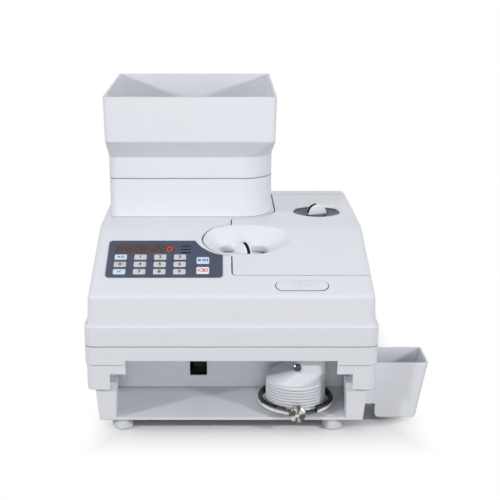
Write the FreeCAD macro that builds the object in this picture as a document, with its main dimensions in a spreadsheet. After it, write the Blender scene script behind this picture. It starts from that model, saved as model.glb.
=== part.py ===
"""Desktop coin counter: hopper, feed disc, coin track, keypad, bag spout and reject tray."""
import FreeCAD, Part
import math
import os

import Sketcher

os.makedirs("parts", exist_ok=True)
doc = FreeCAD.newDocument("coin_counter")
sheet = doc.addObject("Spreadsheet::Sheet", "dims")

# Driving sizes in millimetres. Places are measured from the middle of the case, its front face and the floor.
SIZES = {
    # Case shells
    "case_width": 335.0,
    "case_depth": 348.0,
    "wall": 2.5,
    "case_corner": 11.0,
    "skirt_bottom": 55.0,
    "skirt_inset": 1.5,
    "band_bottom": 86.0,
    "seam_z": 108.5,
    "seam_groove": 0.7,
    "seam_depth": 1.6,
    "ledge_z": 133.0,
    "ledge_step": 4.0,
    "ledge_round": 2.0,
    "slide_gap": 0.3,
    "running_gap": 0.05,
    "seat_gap": 0.1,
    # Top cover
    "cover_front": 2.5,
    "crease_y": 4.0,
    "crease_z": 168.0,
    "slope_end_y": 128.0,
    "top_z": 220.0,
    "rear_top_margin": 38.0,
    "rear_knee_margin": 10.0,
    "rear_knee_z": 184.0,
    "cover_lean": 3.5,
    "slope_round": 100.0,
    "crease_round": 6.0,
    "rear_round": 16.0,
    "edge_round": 7.0,
    # Hatch
    "hatch_left": 1.5,
    "hatch_front": 38.0,
    "hatch_shoulder_margin": 200.0,
    "hatch_rear_margin": 67.0,
    "hatch_side_z": 175.0,
    "hatch_gap": 1.4,
    "hatch_corner": 4.0,
    "hatch_side_gap": 5.5,
    "hinge_radius": 2.8,
    "hinge_pin_radius": 1.4,
    "hinge_front_y": 92.0,
    "knuckle_length": 28.0,
    "knuckle_count": 5.0,
    # Oval dish and its knob
    "dish_x": 18.5,
    "dish_y": 99.0,
    "dish_z": 207.5,
    "dish_half_width": 49.5,
    "dish_half_depth": 28.0,
    "dish_overshoot": 5.0,
    "dish_rim": 2.7,
    "dish_floor_z": 189.0,
    "dish_hole_width": 66.0,
    "dish_hole_depth": 36.0,
    "thickness_x": 15.0,
    "thickness_y": 95.0,
    "knob_base_radius": 13.0,
    "knob_base_height": 3.0,
    "knob_fin_radius": 12.5,
    "knob_fin_thick": 8.0,
    "knob_shaft_radius": 3.0,
    "thickness_knob_angle": 120.0,
    "thickness_floor_z": 189.2,
    "diameter_knob_angle": 22.0,
    # Round dial dish and its knob
    "diameter_x": 110.5,
    "diameter_margin": 157.0,
    "dial_radius": 29.5,
    "dial_bevel": 3.0,
    "dial_lip": 5.0,
    "dial_thick": 2.0,
    "dial_floor_z": 211.0,
    "dial_sleeve_radius": 8.0,
    # Hopper
    "hopper_left": -150.5,
    "hopper_right": 52.0,
    "hopper_front_margin": 191.0,
    "hopper_back_margin": 11.0,
    "hopper_seam_z": 269.5,
    "hopper_waist_z": 296.0,
    "hopper_brow_z": 318.0,
    "hopper_rim_z": 372.5,
    "hopper_rim_rise": 4.5,
    "hopper_flare": 2.0,
    "hopper_reach_front": 19.5,
    "hopper_reach_back": 11.0,
    "hopper_draft": 1.0,
    "hopper_corner": 9.0,
    "hopper_big_corner": 38.0,
    "rim_corner": 4.0,
    "hopper_wall": 2.5,
    "throat_half": 60.0,
    # Keypad on the slope
    "pad_left": -145.0,
    "pad_right": -10.0,
    "pad_front": 33.0,
    "pad_back": 95.0,
    "pad_corner": 4.5,
    "pad_thick": 0.8,
    "pad_bite_x": 0.0,
    "pad_bite_y": 112.0,
    "pad_bite_radius": 46.5,
    "pad_margin": 5.0,
    "pad_margin_y": 3.5,
    "pad_step_x": -46.5,
    "pad_step_y": 67.0,
    "key_first_x": -129.4,
    "key_pitch_x": 23.13,
    "key_first_y": 66.2,
    "key_pitch_y": 12.2,
    "key_width": 14.4,
    "key_height": 9.0,
    "key_corner": 1.6,
    "key_proud": 0.7,
    "key_depth": 1.6,
    "large_key_x": -33.0,
    "large_key_y": 60.4,
    "large_key_pitch": 16.6,
    "large_key_width": 14.8,
    "large_key_height": 11.9,
    "display_x": -102.0,
    "display_y": 80.5,
    "display_width": 70.0,
    "display_height": 16.3,
    "board_thick": 1.6,
    # Hatch button
    "button_x": 80.0,
    "button_y": 20.0,
    "button_width": 59.0,
    "button_height": 16.0,
    "button_proud": 1.0,
    "button_depth": 3.4,
    "button_gap": 0.8,
    # Bay, base and feet
    "bay_half": 121.0,
    "bay_top": 91.0,
    "bay_step_half": 139.0,
    "bay_step_top": 74.0,
    "bay_wall_y": 92.0,
    "bay_side": 142.0,
    "bay_ceiling": 98.0,
    "port_left": -50.4,
    "port_width": 21.0,
    "port_bottom": 34.0,
    "port_height": 24.0,
    "base_bottom": 15.0,
    "base_thick": 3.0,
    "base_front": 5.5,
    "base_back_margin": 5.0,
    "base_half": 150.0,
    "leg_depth": 20.0,
    "leg_top": 62.0,
    "leg_top_outer": 157.5,
    "leg_bottom_outer": 153.0,
    "leg_top_inner": 132.0,
    "leg_bottom_inner": 134.0,
    "foot_radius": 12.25,
    "foot_x": 123.1,
    "foot_shift": -4.2,
    "foot_front_y": 21.0,
    "foot_back_margin": 26.0,
    "foot_bevel": 2.0,
    "post_radius": 5.0,
    "post_x": 142.0,
    "post_front_y": 136.0,
    "post_back_margin": 30.0,
    # Spout and clamp
    "spout_x": 77.0,
    "spout_y": 45.0,
    "spout_bottom": 24.5,
    "spout_radius": 35.5,
    "spout_wall": 3.0,
    "rib_count": 8.0,
    "rib_pitch": 3.6,
    "rib_depth": 1.2,
    "shoulder_top": 70.0,
    "hood_left": 74.0,
    "hood_right": 110.0,
    "hood_front": 12.0,
    "hood_back": 66.0,
    "hood_corner": 8.0,
    "screw_x": 76.0,
    "screw_z": 78.0,
    "screw_head_radius": 4.6,
    "screw_head_height": 2.4,
    "screw_shank_radius": 2.0,
    "screw_length": 6.0,
    "screw_cover": 1.2,
    "clamp_radius": 45.0,
    "clamp_band": 4.5,
    "clamp_height": 8.0,
    "clamp_z": 26.5,
    "clamp_round": 1.6,
    "clamp_gap_start": 251.0,
    "clamp_gap_turn": 50.0,
    "stud_radius": 2.5,
    "stud_x": 76.0,
    "clamp_knob_radius": 9.7,
    "clamp_knob_length": 6.0,
    "clamp_knob_front": 6.0,
    "lug_thick": 4.0,
    # Reject tray
    "tray_reach": 64.0,
    "tray_foot_reach": 52.0,
    "tray_front": 30.0,
    "tray_depth": 51.0,
    "tray_rim_z": 76.0,
    "tray_bottom": 7.0,
    "tray_shelf_z": 24.5,
    "tray_wall": 2.2,
    "tray_inner_x": 142.5,
    "tray_inner_top": 51.0,
    "tray_corner": 5.0,
    "tray_side_gap": 0.9,
    # Feed disc and its drive
    "deck_top": 150.0,
    "deck_thick": 3.0,
    "deck_half": 152.0,
    "deck_front": 36.0,
    "deck_back_margin": 18.0,
    "disc_x": -35.0,
    "disc_margin": 110.0,
    "disc_radius": 62.0,
    "disc_top": 157.0,
    "disc_thick": 5.5,
    "disc_cone_height": 12.0,
    "ring_gap": 1.5,
    "ring_thick": 3.0,
    "ring_top": 217.0,
    "exit_height": 8.0,
    "shaft_radius": 6.0,
    "bearing_radius": 17.0,
    "bearing_height": 28.0,
    "bearing_flange": 34.0,
    "flange_thick": 4.0,
    "disc_pulley_radius": 40.0,
    "pulley_width": 10.0,
    "pulley_top": 116.0,
    "belt_thick": 2.0,
    "belt_width": 8.0,
    "motor_x": 62.0,
    "motor_margin": 98.0,
    "motor_radius": 31.0,
    "motor_top": 98.0,
    "motor_pulley_radius": 12.0,
    "motor_shaft_radius": 4.0,
    # Coin track
    "track_left": -8.0,
    "track_right": 33.0,
    "track_front": 62.0,
    "track_top": 156.5,
    "guide_thick": 4.0,
    "guide_top": 162.0,
    "guide_back_margin": 176.0,
    "rail_x": 18.0,
    "rail_thick": 4.0,
    "rail_front": 82.0,
    "rail_back_margin": 172.0,
    "rail_lift": 0.5,
    "rail_top": 168.0,
    "rack_bar": 7.0,
    "rack_reach": 132.0,
    "gear_module": 0.8,
    "gear_teeth": 15.0,
    "gear_backlash": 0.3,
    "gear_height": 7.0,
    "bracket_top": 178.0,
    "bracket_thick": 5.0,
    "bracket_half": 13.0,
    "bridge_bottom": 180.5,
    "bridge_thick": 4.0,
    "bridge_half": 8.0,
    "bridge_left": -26.0,
    "bridge_right": 54.0,
    "bridge_post": 6.0,
    "gate_bottom": 159.6,
    "gate_plate": 6.0,
    "gate_plate_z": 170.8,
    "gate_blade": 12.0,
    "belt_pulley_radius": 8.0,
    "belt_axis_z": 169.6,
    "belt_drive_y": 122.0,
    "belt_idler_margin": 184.0,
    "track_belt_thick": 1.4,
    "track_belt_width": 10.0,
    "belt_left": -4.0,
    "belt_shaft_radius": 2.5,
    "belt_motor_radius": 12.0,
    "belt_motor_length": 40.0,
    "sensor_back": 81.0,
    "sensor_depth": 13.0,
    "reject_slot_y": 104.0,
    "reject_slot_depth": 12.0,
    # Chutes
    "chute_wall": 2.0,
    "chute_corner": 5.0,
    "chute_end_z": 100.0,
    "duct_left": 143.0,
    "duct_right": 161.0,
    "duct_front": 38.0,
    "duct_back": 118.0,
    "duct_top": 112.0,
    "duct_bottom": 62.0,
    # Boards and power
    "main_board_left": -128.0,
    "main_board_right": -22.0,
    "main_board_front": 112.0,
    "main_board_margin": 98.0,
    "board_standoff": 8.0,
    "supply_left": 100.0,
    "supply_right": 150.0,
    "supply_front_margin": 170.0,
    "supply_back_margin": 48.0,
    "supply_height": 58.0,
    "inlet_left": -122.0,
    "inlet_width": 54.0,
    "inlet_bottom": 57.5,
    "inlet_height": 27.0,
    "inlet_flange": 1.5,
    "inlet_depth": 24.0,
    "socket_width": 24.0,
    "socket_height": 17.0,
    "rocker_width": 13.0,
    "rocker_height": 19.0,
    "rocker_depth": 6.0,
    "rocker_pin_radius": 1.2,
    "rocker_hub_radius": 2.4,
    "rocker_gap": 1.2,
}
# Pieces towards the back keep their distance from the case's back wall.
BACK_PLACES = {
    "rear_top_y": "rear_top_margin",
    "rear_knee_y": "rear_knee_margin",
    "hatch_shoulder_y": "hatch_shoulder_margin",
    "hatch_rear": "hatch_rear_margin",
    "diameter_y": "diameter_margin",
    "hopper_front": "hopper_front_margin",
    "hopper_back": "hopper_back_margin",
    "base_back": "base_back_margin",
    "foot_back_y": "foot_back_margin",
    "post_back_y": "post_back_margin",
    "deck_back": "deck_back_margin",
    "disc_y": "disc_margin",
    "motor_y": "motor_margin",
    "guide_back": "guide_back_margin",
    "rail_back": "rail_back_margin",
    "belt_idler_y": "belt_idler_margin",
    "main_board_back": "main_board_margin",
    "supply_front": "supply_front_margin",
    "supply_back": "supply_back_margin",
}
CELLS = {alias: str(value) for alias, value in SIZES.items()}
CELLS.update({alias: f"=case_depth - {margin}" for alias, margin in BACK_PLACES.items()})
for row, (alias, value) in enumerate(CELLS.items(), start=1):
    sheet.set(f"A{row}", alias)
    sheet.set(f"B{row}", value)
    sheet.setAlias(f"B{row}", alias)
doc.recompute()


class Size:
    """A length written as a formula on the sheet's sizes."""

    def __init__(self, text):
        self.text = text

    def __add__(self, other):
        return Size(f"({self.text} + {formula(other)})")

    def __radd__(self, other):
        return Size(f"({formula(other)} + {self.text})")

    def __sub__(self, other):
        return Size(f"({self.text} - {formula(other)})")

    def __rsub__(self, other):
        return Size(f"({formula(other)} - {self.text})")

    def __mul__(self, other):
        return Size(f"({self.text} * {formula(other)})")

    def __rmul__(self, other):
        return Size(f"({formula(other)} * {self.text})")

    def __truediv__(self, other):
        return Size(f"({self.text} / {formula(other)})")

    def __neg__(self):
        return Size(f"(0 - {self.text})")


class Sheet:
    """Names each size on the sheet as an attribute."""

    def __getattr__(self, alias):
        if alias not in CELLS:
            raise AttributeError(alias)
        return Size(f"dims.{alias}")


d = Sheet()


def formula(value):
    return value.text if isinstance(value, Size) else repr(float(value))


def number(value):
    return float(sheet.evalExpression(formula(value)))


# Values that several pieces share
half = d.case_width / 2
slope_run = d.slope_end_y - d.crease_y
slope_rise = d.top_z - d.crease_z
slope_length = Size(f"sqrt({slope_run.text}^2 + {slope_rise.text}^2)")
slope_angle = math.degrees(math.atan2(number(slope_rise), number(slope_run)))
slope_turn = FreeCAD.Rotation(FreeCAD.Vector(1, 0, 0), slope_angle)
deck_bottom = d.deck_top - d.deck_thick
base_top = d.base_bottom + d.base_thick
cover_half = half - d.ledge_step
side_lean = d.cover_lean / (d.top_z - d.ledge_z)
hinge_x = cover_half - side_lean * (d.hatch_side_z - d.ledge_z) + d.hinge_radius / 2
hinge_z = d.hatch_side_z - d.hatch_gap / 2
thickness_floor = d.thickness_floor_z
pitch_radius = d.gear_module * d.gear_teeth / 2
rack_line = d.diameter_y - pitch_radius
gear_bottom = d.rail_top - d.gear_height
# The frame's origin is under the middle of the whole machine, tray and front knob included.
frame_x = d.tray_reach / -2
frame_y = (d.clamp_knob_front - d.case_depth) / 2

TURNS = {
    "x": FreeCAD.Rotation(FreeCAD.Vector(0, 1, 0), 90),
    "y": FreeCAD.Rotation(FreeCAD.Vector(1, 0, 0), -90),
    "z": FreeCAD.Rotation(),
}
SUB_PARTS = []


def bind(item, **sizes):
    for prop, value in sizes.items():
        item.setExpression(prop, formula(value))
    return item


def place(item, x, y, z, turn=None):
    item.Placement = FreeCAD.Placement(FreeCAD.Vector(), turn or FreeCAD.Rotation())
    for axis, value in zip("xyz", (frame_x + x, frame_y + y, Size("0.0") + z)):
        item.setExpression(f"Placement.Base.{axis}", formula(value))
    return item


def keep(item, label):
    item.Label = label
    SUB_PARTS.append(item)
    return item


def block(name, x, y, z):
    item = doc.addObject("Part::Box", name)
    spans = [Size("0.0") + high - low for low, high in (x, y, z)]
    bind(item, Length=spans[0], Width=spans[1], Height=spans[2])
    return place(item, x[0], y[0], z[0])


def rod(name, axis, centre, span, radius):
    """A cylinder along one axis; centre gives the other two places in x, y, z order."""
    item = doc.addObject("Part::Cylinder", name)
    bind(item, Radius=radius, Height=Size("0.0") + span[1] - span[0])
    spot = list(centre)
    spot.insert("xyz".index(axis), span[0])
    return place(item, *spot, TURNS[axis])


def tube(name, axis, centre, span, radius, bore):
    outer = rod(f"{name}_outer", axis, centre, span, radius)
    inner = rod(f"{name}_bore", axis, centre, span, bore)
    return cut(name, outer, inner)


def cut(name, base, *tools):
    item = doc.addObject("Part::Cut", name)
    item.Base = base
    item.Tool = tools[0] if len(tools) == 1 else join(f"{name}_tools", *tools)
    return item


def join(name, *items):
    item = doc.addObject("Part::MultiFuse", name)
    item.Shapes = list(items)
    return item


def group(name, *items):
    item = doc.addObject("Part::Compound", name)
    item.Links = list(items)
    return item


def shared(name, first, second):
    item = doc.addObject("Part::Common", name)
    item.Base = first
    item.Tool = second
    return item


def rounded_edges(name, base, radius, picks):
    """Rounds the edges of base whose middle point passes the test picks(edge, middle)."""
    doc.recompute()
    item = doc.addObject("Part::Fillet", name)
    item.Base = base
    size = number(radius)
    edges = []
    for index, edge in enumerate(base.Shape.Edges, start=1):
        if picks(edge, edge.valueAt((edge.FirstParameter + edge.LastParameter) / 2)):
            edges.append((index, size, size))
    item.Edges = edges
    return item


def upright(edge, _middle):
    """True for a straight edge that runs along z."""
    first, last = edge.Vertexes[0].Point, edge.Vertexes[-1].Point
    return len(edge.Vertexes) == 2 and (first - last).cross(FreeCAD.Vector(0, 0, 1)).Length < 1e-6


def sketch_on(body, role, name, lift=None):
    sketch = body.newObject("Sketcher::SketchObject", name)
    plane = next(item for item in body.Origin.OriginFeatures if item.Role == role)
    sketch.AttachmentSupport = (plane, [""])
    sketch.MapMode = "FlatFace"
    if lift is not None:
        sketch.setExpression("AttachmentOffset.Base.z", formula(lift))
    return sketch


def pin_point(sketch, geometry, end, point):
    for kind, value in zip(("DistanceX", "DistanceY"), point):
        constraint = sketch.addConstraint(Sketcher.Constraint(kind, -1, 1, geometry, end, number(value)))
        sketch.setExpression(f"Constraints[{constraint}]", formula(value))


def polygon(sketch, points):
    spots = [FreeCAD.Vector(number(u), number(v), 0) for u, v in points]
    count = len(spots)
    for index in range(count):
        sketch.addGeometry(Part.LineSegment(spots[index], spots[(index + 1) % count]))
    for index in range(count):
        sketch.addConstraint(Sketcher.Constraint("Coincident", index, 2, (index + 1) % count, 1))
    for index, point in enumerate(points):
        pin_point(sketch, index, 1, point)


def rounded_outline(sketch, x, y, corners):
    """A rectangle with a radius at each corner: front left, front right, back right, back left."""
    signs = ((1, 1), (-1, 1), (-1, -1), (1, -1))
    ends = ((x[0], y[0]), (x[1], y[0]), (x[1], y[1]), (x[0], y[1]))
    starts, stops = [], []
    for index, ((u, v), (su, sv), radius) in enumerate(zip(ends, signs, corners)):
        along_u = (Size("0.0") + u + radius * su, v)
        along_v = (u, Size("0.0") + v + radius * sv)
        first, second = (along_v, along_u) if index % 2 == 0 else (along_u, along_v)
        starts.append(first)
        stops.append(second)
    for index in range(4):
        after = (index + 1) % 4
        line = [FreeCAD.Vector(number(u), number(v), 0) for u, v in (stops[index], starts[after])]
        sketch.addGeometry(Part.LineSegment(*line))
    for index, ((u, v), (su, sv), radius) in enumerate(zip(ends, signs, corners)):
        size = number(radius)
        centre = FreeCAD.Vector(number(u) + size * su, number(v) + size * sv, 0)
        first = math.pi + index * math.pi / 2
        circle = Part.Circle(centre, FreeCAD.Vector(0, 0, 1), size)
        arc = sketch.addGeometry(Part.ArcOfCircle(circle, first, first + math.pi / 2))
        sketch.addConstraint(Sketcher.Constraint("Coincident", arc, 1, (index + 3) % 4, 2))
        sketch.addConstraint(Sketcher.Constraint("Coincident", arc, 2, index, 1))
        bend = sketch.addConstraint(Sketcher.Constraint("Radius", arc, size))
        sketch.setExpression(f"Constraints[{bend}]", formula(radius))
    for index in range(4):
        pin_point(sketch, index, 1, stops[index])
        pin_point(sketch, index, 2, starts[(index + 1) % 4])


PLANES = {"x": "YZ_Plane", "y": "XZ_Plane", "z": "XY_Plane"}


def prism(name, axis, points, span):
    """A straight extrusion of an outline along x, y or z."""
    body = doc.addObject("PartDesign::Body", name)
    sketch = sketch_on(body, PLANES[axis], f"{name}_outline")
    polygon(sketch, points)
    pad = body.newObject("PartDesign::Pad", f"{name}_pad")
    pad.Profile = sketch
    pad.Reversed = axis == "y"
    bind(pad, Length=Size("0.0") + span[1] - span[0])
    spot = [0, 0, 0]
    spot["xyz".index(axis)] = span[0]
    return place(body, *spot)


def rounded_block(name, x, y, z, corner):
    body = doc.addObject("PartDesign::Body", name)
    sketch = sketch_on(body, "XY_Plane", f"{name}_outline")
    rounded_outline(sketch, x, y, (corner,) * 4)
    pad = body.newObject("PartDesign::Pad", f"{name}_pad")
    pad.Profile = sketch
    bind(pad, Length=Size("0.0") + z[1] - z[0])
    return place(body, 0, 0, z[0])


def loft(name, sections):
    """A ruled body through rounded rectangles, each given as x span, y span, height and corners."""
    body = doc.addObject("PartDesign::Body", name)
    sketches = []
    for index, (x, y, z, corners) in enumerate(sections):
        sketch = sketch_on(body, "XY_Plane", f"{name}_section{index}", Size("0.0") + z)
        rounded_outline(sketch, x, y, corners)
        sketches.append(sketch)
    feature = body.newObject("PartDesign::AdditiveLoft", f"{name}_loft")
    feature.Profile = sketches[0]
    feature.Sections = sketches[1:]
    feature.Ruled = True
    return place(body, 0, 0, 0)


def turned(name, profile, spot, axis="z", turn=360.0, start=0.0):
    """A turned piece; profile lists radius and height along its axis."""
    body = doc.addObject("PartDesign::Body", name)
    sketch = sketch_on(body, "XZ_Plane", f"{name}_profile")
    polygon(sketch, profile)
    spin = body.newObject("PartDesign::Revolution", f"{name}_turn")
    spin.Profile = sketch
    spin.ReferenceAxis = (sketch, ["V_Axis"])
    spin.Angle = turn
    around = FreeCAD.Rotation(FreeCAD.Vector(0, 0, 1), start)
    return place(body, *spot, TURNS[axis].multiply(around))


def on_slope(item, x, y, lift):
    """Lays an item on the cover's slope, with lift measured square to it."""
    rise = d.crease_z + (Size("0.0") + y - d.crease_y) * slope_rise / slope_run
    return place(
        item,
        x,
        Size("0.0") + y - lift * slope_rise / slope_length,
        rise + lift * slope_run / slope_length,
        slope_turn,
    )


def slab(name, width, height, thick, corner, x, y, lift):
    """A plate with rounded corners on the slope, from lift upwards."""
    body = doc.addObject("PartDesign::Body", name)
    sketch = sketch_on(body, "XY_Plane", f"{name}_outline")
    rounded_outline(sketch, (width / -2, width / 2), (height / -2, height / 2), (corner,) * 4)
    pad = body.newObject("PartDesign::Pad", f"{name}_pad")
    pad.Profile = sketch
    bind(pad, Length=thick)
    return on_slope(body, x, y, lift)


def along_slope(span):
    """Length on the slope of a span measured level."""
    return span * slope_length / slope_run


# Lower case: a band and a slightly inset skirt, with the stepped bay opening in front
def case_ring(name, inset, z):
    corner = d.case_corner - inset
    return rounded_block(
        name, (inset - half, half - inset), (Size("0.0") + inset, d.case_depth - inset), z, corner
    )


def make_lower_case():
    groove_z = d.seam_z - d.seam_groove
    band = case_ring("lower_band", Size("0.0"), (d.band_bottom, groove_z))
    lip = case_ring("lower_lip", d.seam_depth, (groove_z, d.seam_z))
    skirt = case_ring("lower_skirt", d.skirt_inset, (d.skirt_bottom, d.band_bottom))
    inside = case_ring("lower_inside", d.skirt_inset + d.wall, (d.skirt_bottom - d.wall, d.seam_z + d.wall))
    front = (Size("0.0") - d.wall, d.case_corner + d.wall)
    low = d.skirt_bottom - d.wall
    bay = block("bay_opening", (-d.bay_half, d.bay_half), front, (low, d.bay_top))
    step = block("bay_step", (-d.bay_step_half, d.bay_step_half), front, (low, d.bay_step_top))
    back = (d.case_depth - d.case_corner, d.case_depth + d.wall)
    inlet_x = (d.inlet_left + d.inlet_flange, d.inlet_left + d.inlet_width - d.inlet_flange)
    inlet_z = (d.inlet_bottom + d.inlet_flange, d.inlet_bottom + d.inlet_height - d.inlet_flange)
    inlet = block("inlet_opening", inlet_x, back, inlet_z)
    return cut("lower_case_shell", join("lower_case_form", band, lip, skirt), inside, bay, step, inlet)


keep(make_lower_case(), "lower_case")


# Top cover: a side view pushed across and a front view pushed back, then the two are shared
def cover_form(name, inset, bottom):
    rise_drop = inset * slope_length / slope_run
    profile = [
        (d.cover_front + inset, bottom),
        (d.crease_y + inset, d.crease_z + inset * slope_rise / slope_run - rise_drop),
        (d.slope_end_y + inset * (slope_length - slope_run) / slope_rise, d.top_z - inset),
        (d.rear_top_y - inset / 2, d.top_z - inset),
        (d.rear_knee_y - inset, d.rear_knee_z),
        (d.case_depth - d.ledge_step - inset, bottom),
    ]
    side = prism(f"{name}_side", "x", profile, (-half, half))
    bottom_half = cover_half - inset
    top_half = cover_half - d.cover_lean - inset
    view = [
        (-bottom_half, bottom),
        (bottom_half, bottom),
        (top_half, d.top_z),
        (-top_half, d.top_z),
    ]
    front = prism(f"{name}_front", "y", view, (0, d.case_depth))
    doc.recompute()
    top = number(d.top_z - inset)
    corners = (
        (f"{name}_bend", d.slope_round - inset, number(frame_y + profile[2][0]), top),
        (f"{name}_rear_bend", d.rear_round - inset, number(frame_y + profile[3][0]), top),
        (f"{name}_crease", d.crease_round - inset, number(frame_y + profile[1][0]), number(profile[1][1])),
    )
    bent = side
    for label, radius, y, z in corners:
        bent = rounded_edges(
            label, bent, radius, lambda edge, mid, y=y, z=z: math.hypot(mid.y - y, mid.z - z) < 0.01
        )
    form = shared(f"{name}_shared", bent, front)
    low = number(Size("0.0") + bottom)
    middle = number(frame_x)
    limit = number(cover_half - d.cover_lean - d.edge_round)
    return rounded_edges(
        name,
        form,
        d.edge_round - inset,
        lambda edge, mid: abs(mid.x - middle) > limit and mid.z > low + 0.1,
    )


def make_cover_shell():
    band = rounded_edges(
        "cover_band",
        case_ring("cover_band_block", Size("0.0"), (d.seam_z, d.ledge_z)),
        d.ledge_round,
        lambda edge, mid: abs(mid.z - number(d.ledge_z)) < 0.01,
    )
    outer = cover_form("cover_outer", Size("0.0"), d.ledge_z - d.ledge_round)
    inner_band = case_ring("cover_band_inside", d.wall, (d.seam_z - d.wall, d.ledge_z - d.wall))
    inner = cover_form("cover_inner", d.wall, d.seam_z - d.wall)
    return cut("cover_shell", join("cover_solid", band, outer), inner_band, inner), outer


cover_shell, cover_outer = make_cover_shell()


# Hatch: the right of the top, round the oval dish and along the hopper's side
def hatch_outline(name, grow):
    """The hatch's plan as a solid that stands through the cover; grow opens the seam."""
    z = (d.hatch_side_z - grow, d.top_z + d.hatch_side_z - d.ledge_z)
    right = half + d.wall * 2
    front_y = (d.hatch_front - grow, d.hatch_shoulder_y + grow)
    front = rounded_block(f"{name}_front", (d.hatch_left - grow, right), front_y, z, d.hatch_corner + grow)
    bulge_curve = doc.addObject("Part::Ellipse", f"{name}_curve")
    rim = d.dish_rim + grow
    bind(bulge_curve, MajorRadius=d.dish_half_width + rim, MinorRadius=d.dish_half_depth + rim)
    place(bulge_curve, d.dish_x, d.dish_y, z[0])
    bulge = doc.addObject("Part::Extrusion", f"{name}_bulge")
    bulge.Base = bulge_curve
    bulge.DirMode = "Custom"
    bulge.Dir = FreeCAD.Vector(0, 0, 1)
    bulge.Solid = True
    bind(bulge, LengthFwd=z[1] - z[0])
    side_x = d.hopper_right + d.hatch_side_gap - grow
    back = block(f"{name}_back", (side_x, right), (d.hatch_shoulder_y, d.hatch_rear + grow), z)
    corner_y = d.hopper_front + d.hopper_big_corner
    corner_x = d.hopper_right - d.hopper_big_corner
    fill = block(f"{name}_fill", (corner_x, side_x), (d.hatch_shoulder_y, corner_y), z)
    bend = rod(f"{name}_bend", "z", (corner_x, corner_y), z, side_x - corner_x)
    return join(name, front, bulge, back, cut(f"{name}_corner", fill, bend))


dish_tilt = FreeCAD.Rotation(FreeCAD.Vector(1, 0, 0), slope_angle - 3)


def dish_cone(name, grow):
    """The oval funnel of the dish, from above the skin down to the hole round the knob."""
    rim = doc.addObject("Part::Ellipse", f"{name}_rim")
    spread = d.dish_overshoot + grow
    bind(rim, MajorRadius=d.dish_half_width + spread * 1.6, MinorRadius=d.dish_half_depth + spread)
    place(rim, d.dish_x, d.dish_y, d.dish_z + d.dish_overshoot, dish_tilt)
    hole = doc.addObject("Part::Ellipse", f"{name}_hole")
    bind(hole, MajorRadius=d.dish_hole_width / 2 + grow, MinorRadius=d.dish_hole_depth / 2 + grow)
    place(hole, d.thickness_x, d.thickness_y, d.dish_floor_z)
    cone = doc.addObject("Part::Loft", name)
    cone.Sections = [hole, rim]
    cone.Solid = True
    cone.Ruled = True
    return cone


def knuckle(index, name, radius):
    start = d.hinge_front_y + d.knuckle_length * index
    span = (start + d.slide_gap / 2, start + d.knuckle_length - d.slide_gap / 2)
    return rod(name, "y", (hinge_x, hinge_z), span, radius)


def hinge_side(name, odd):
    """Knuckles of one hinge leaf, and the room that the other leaf's knuckles need."""
    own, other = [], []
    for index in range(int(SIZES["knuckle_count"])):
        if index % 2 == odd:
            own.append(knuckle(index, f"{name}_knuckle{index}", d.hinge_radius))
        else:
            start = d.hinge_front_y + d.knuckle_length * index
            span = (start - d.slide_gap / 2, start + d.knuckle_length + d.slide_gap / 2)
            other.append(
                rod(f"{name}_room{index}", "y", (hinge_x, hinge_z), span, d.hinge_radius + d.slide_gap)
            )
    return own, other


hinge_span = (d.hinge_front_y, d.hinge_front_y + d.knuckle_length * d.knuckle_count)


def hinge_bore(name):
    return rod(name, "y", (hinge_x, hinge_z), hinge_span, d.hinge_pin_radius + d.running_gap)


def dial_opening(name, grow):
    cone = doc.addObject("Part::Cone", name)
    bind(cone, Radius1=d.dial_radius + grow, Radius2=d.dial_radius + d.dial_bevel + grow, Height=d.wall)
    return place(cone, d.diameter_x, d.diameter_y, d.top_z - d.wall)


def make_hatch():
    plan = hatch_outline("hatch_plan", Size("0.0"))
    skin = shared("hatch_skin", cover_shell, plan)
    bowl = shared("dish_bowl", dish_cone("dish_outside", d.wall), cover_outer)
    wall = shared("dish_wall", bowl, plan)
    own, other = hinge_side("hatch", 0)
    solid = join("hatch_solid", skin, wall, *own)
    return cut(
        "hatch_form",
        solid,
        dish_cone("dish_inside", Size("0.0")),
        dial_opening("dial_hole", Size("0.0")),
        hinge_bore("hatch_bore"),
        *other,
    )


keep(make_hatch(), "hatch_cover")
keep(rod("hatch_pin_rod", "y", (hinge_x, hinge_z), hinge_span, d.hinge_pin_radius), "hatch_pin")


# Keypad: overlay, display, board and keys, all laid on the slope
pad_x = (d.pad_left + d.pad_right) / 2
pad_y = (d.pad_front + d.pad_back) / 2
KEYS = []
for column in range(4):
    for row in range(3):
        KEYS.append(
            (
                f"key_c{column + 1}_r{row + 1}",
                d.key_first_x + d.key_pitch_x * column,
                d.key_first_y - d.key_pitch_y * row,
                d.key_width,
                d.key_height,
            )
        )
for row, label in enumerate(("key_upper_large", "key_lower_large")):
    spot_y = d.large_key_y - d.large_key_pitch * row
    KEYS.append((label, d.large_key_x, spot_y, d.large_key_width, d.large_key_height))


def pad_window(name, grow, lift, thick):
    """The stepped opening behind the keypad, or the board that covers it when grown."""
    margin = d.pad_margin - grow
    full_x = (d.pad_left + margin, d.pad_step_x - margin)
    margin_y = d.pad_margin_y - grow
    full_y = (d.pad_front + margin_y, d.pad_back - margin_y)
    low_x = (full_x[0], d.pad_right - margin)
    low_y = (full_y[0], d.pad_step_y + grow)
    pieces = []
    for label, x, y in ((f"{name}_high", full_x, full_y), (f"{name}_low", low_x, low_y)):
        pieces.append(
            slab(
                label,
                x[1] - x[0],
                along_slope(y[1] - y[0]),
                thick,
                d.key_corner,
                (x[0] + x[1]) / 2,
                (y[0] + y[1]) / 2,
                lift,
            )
        )
    return join(name, *pieces)


def pad_bite(name, lift):
    """The round bite that keeps the keypad clear of the oval dish."""
    bite = doc.addObject("Part::Cylinder", name)
    bind(bite, Radius=d.pad_bite_radius, Height=d.wall * 2)
    return on_slope(bite, d.pad_bite_x, d.pad_bite_y, lift)


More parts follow.
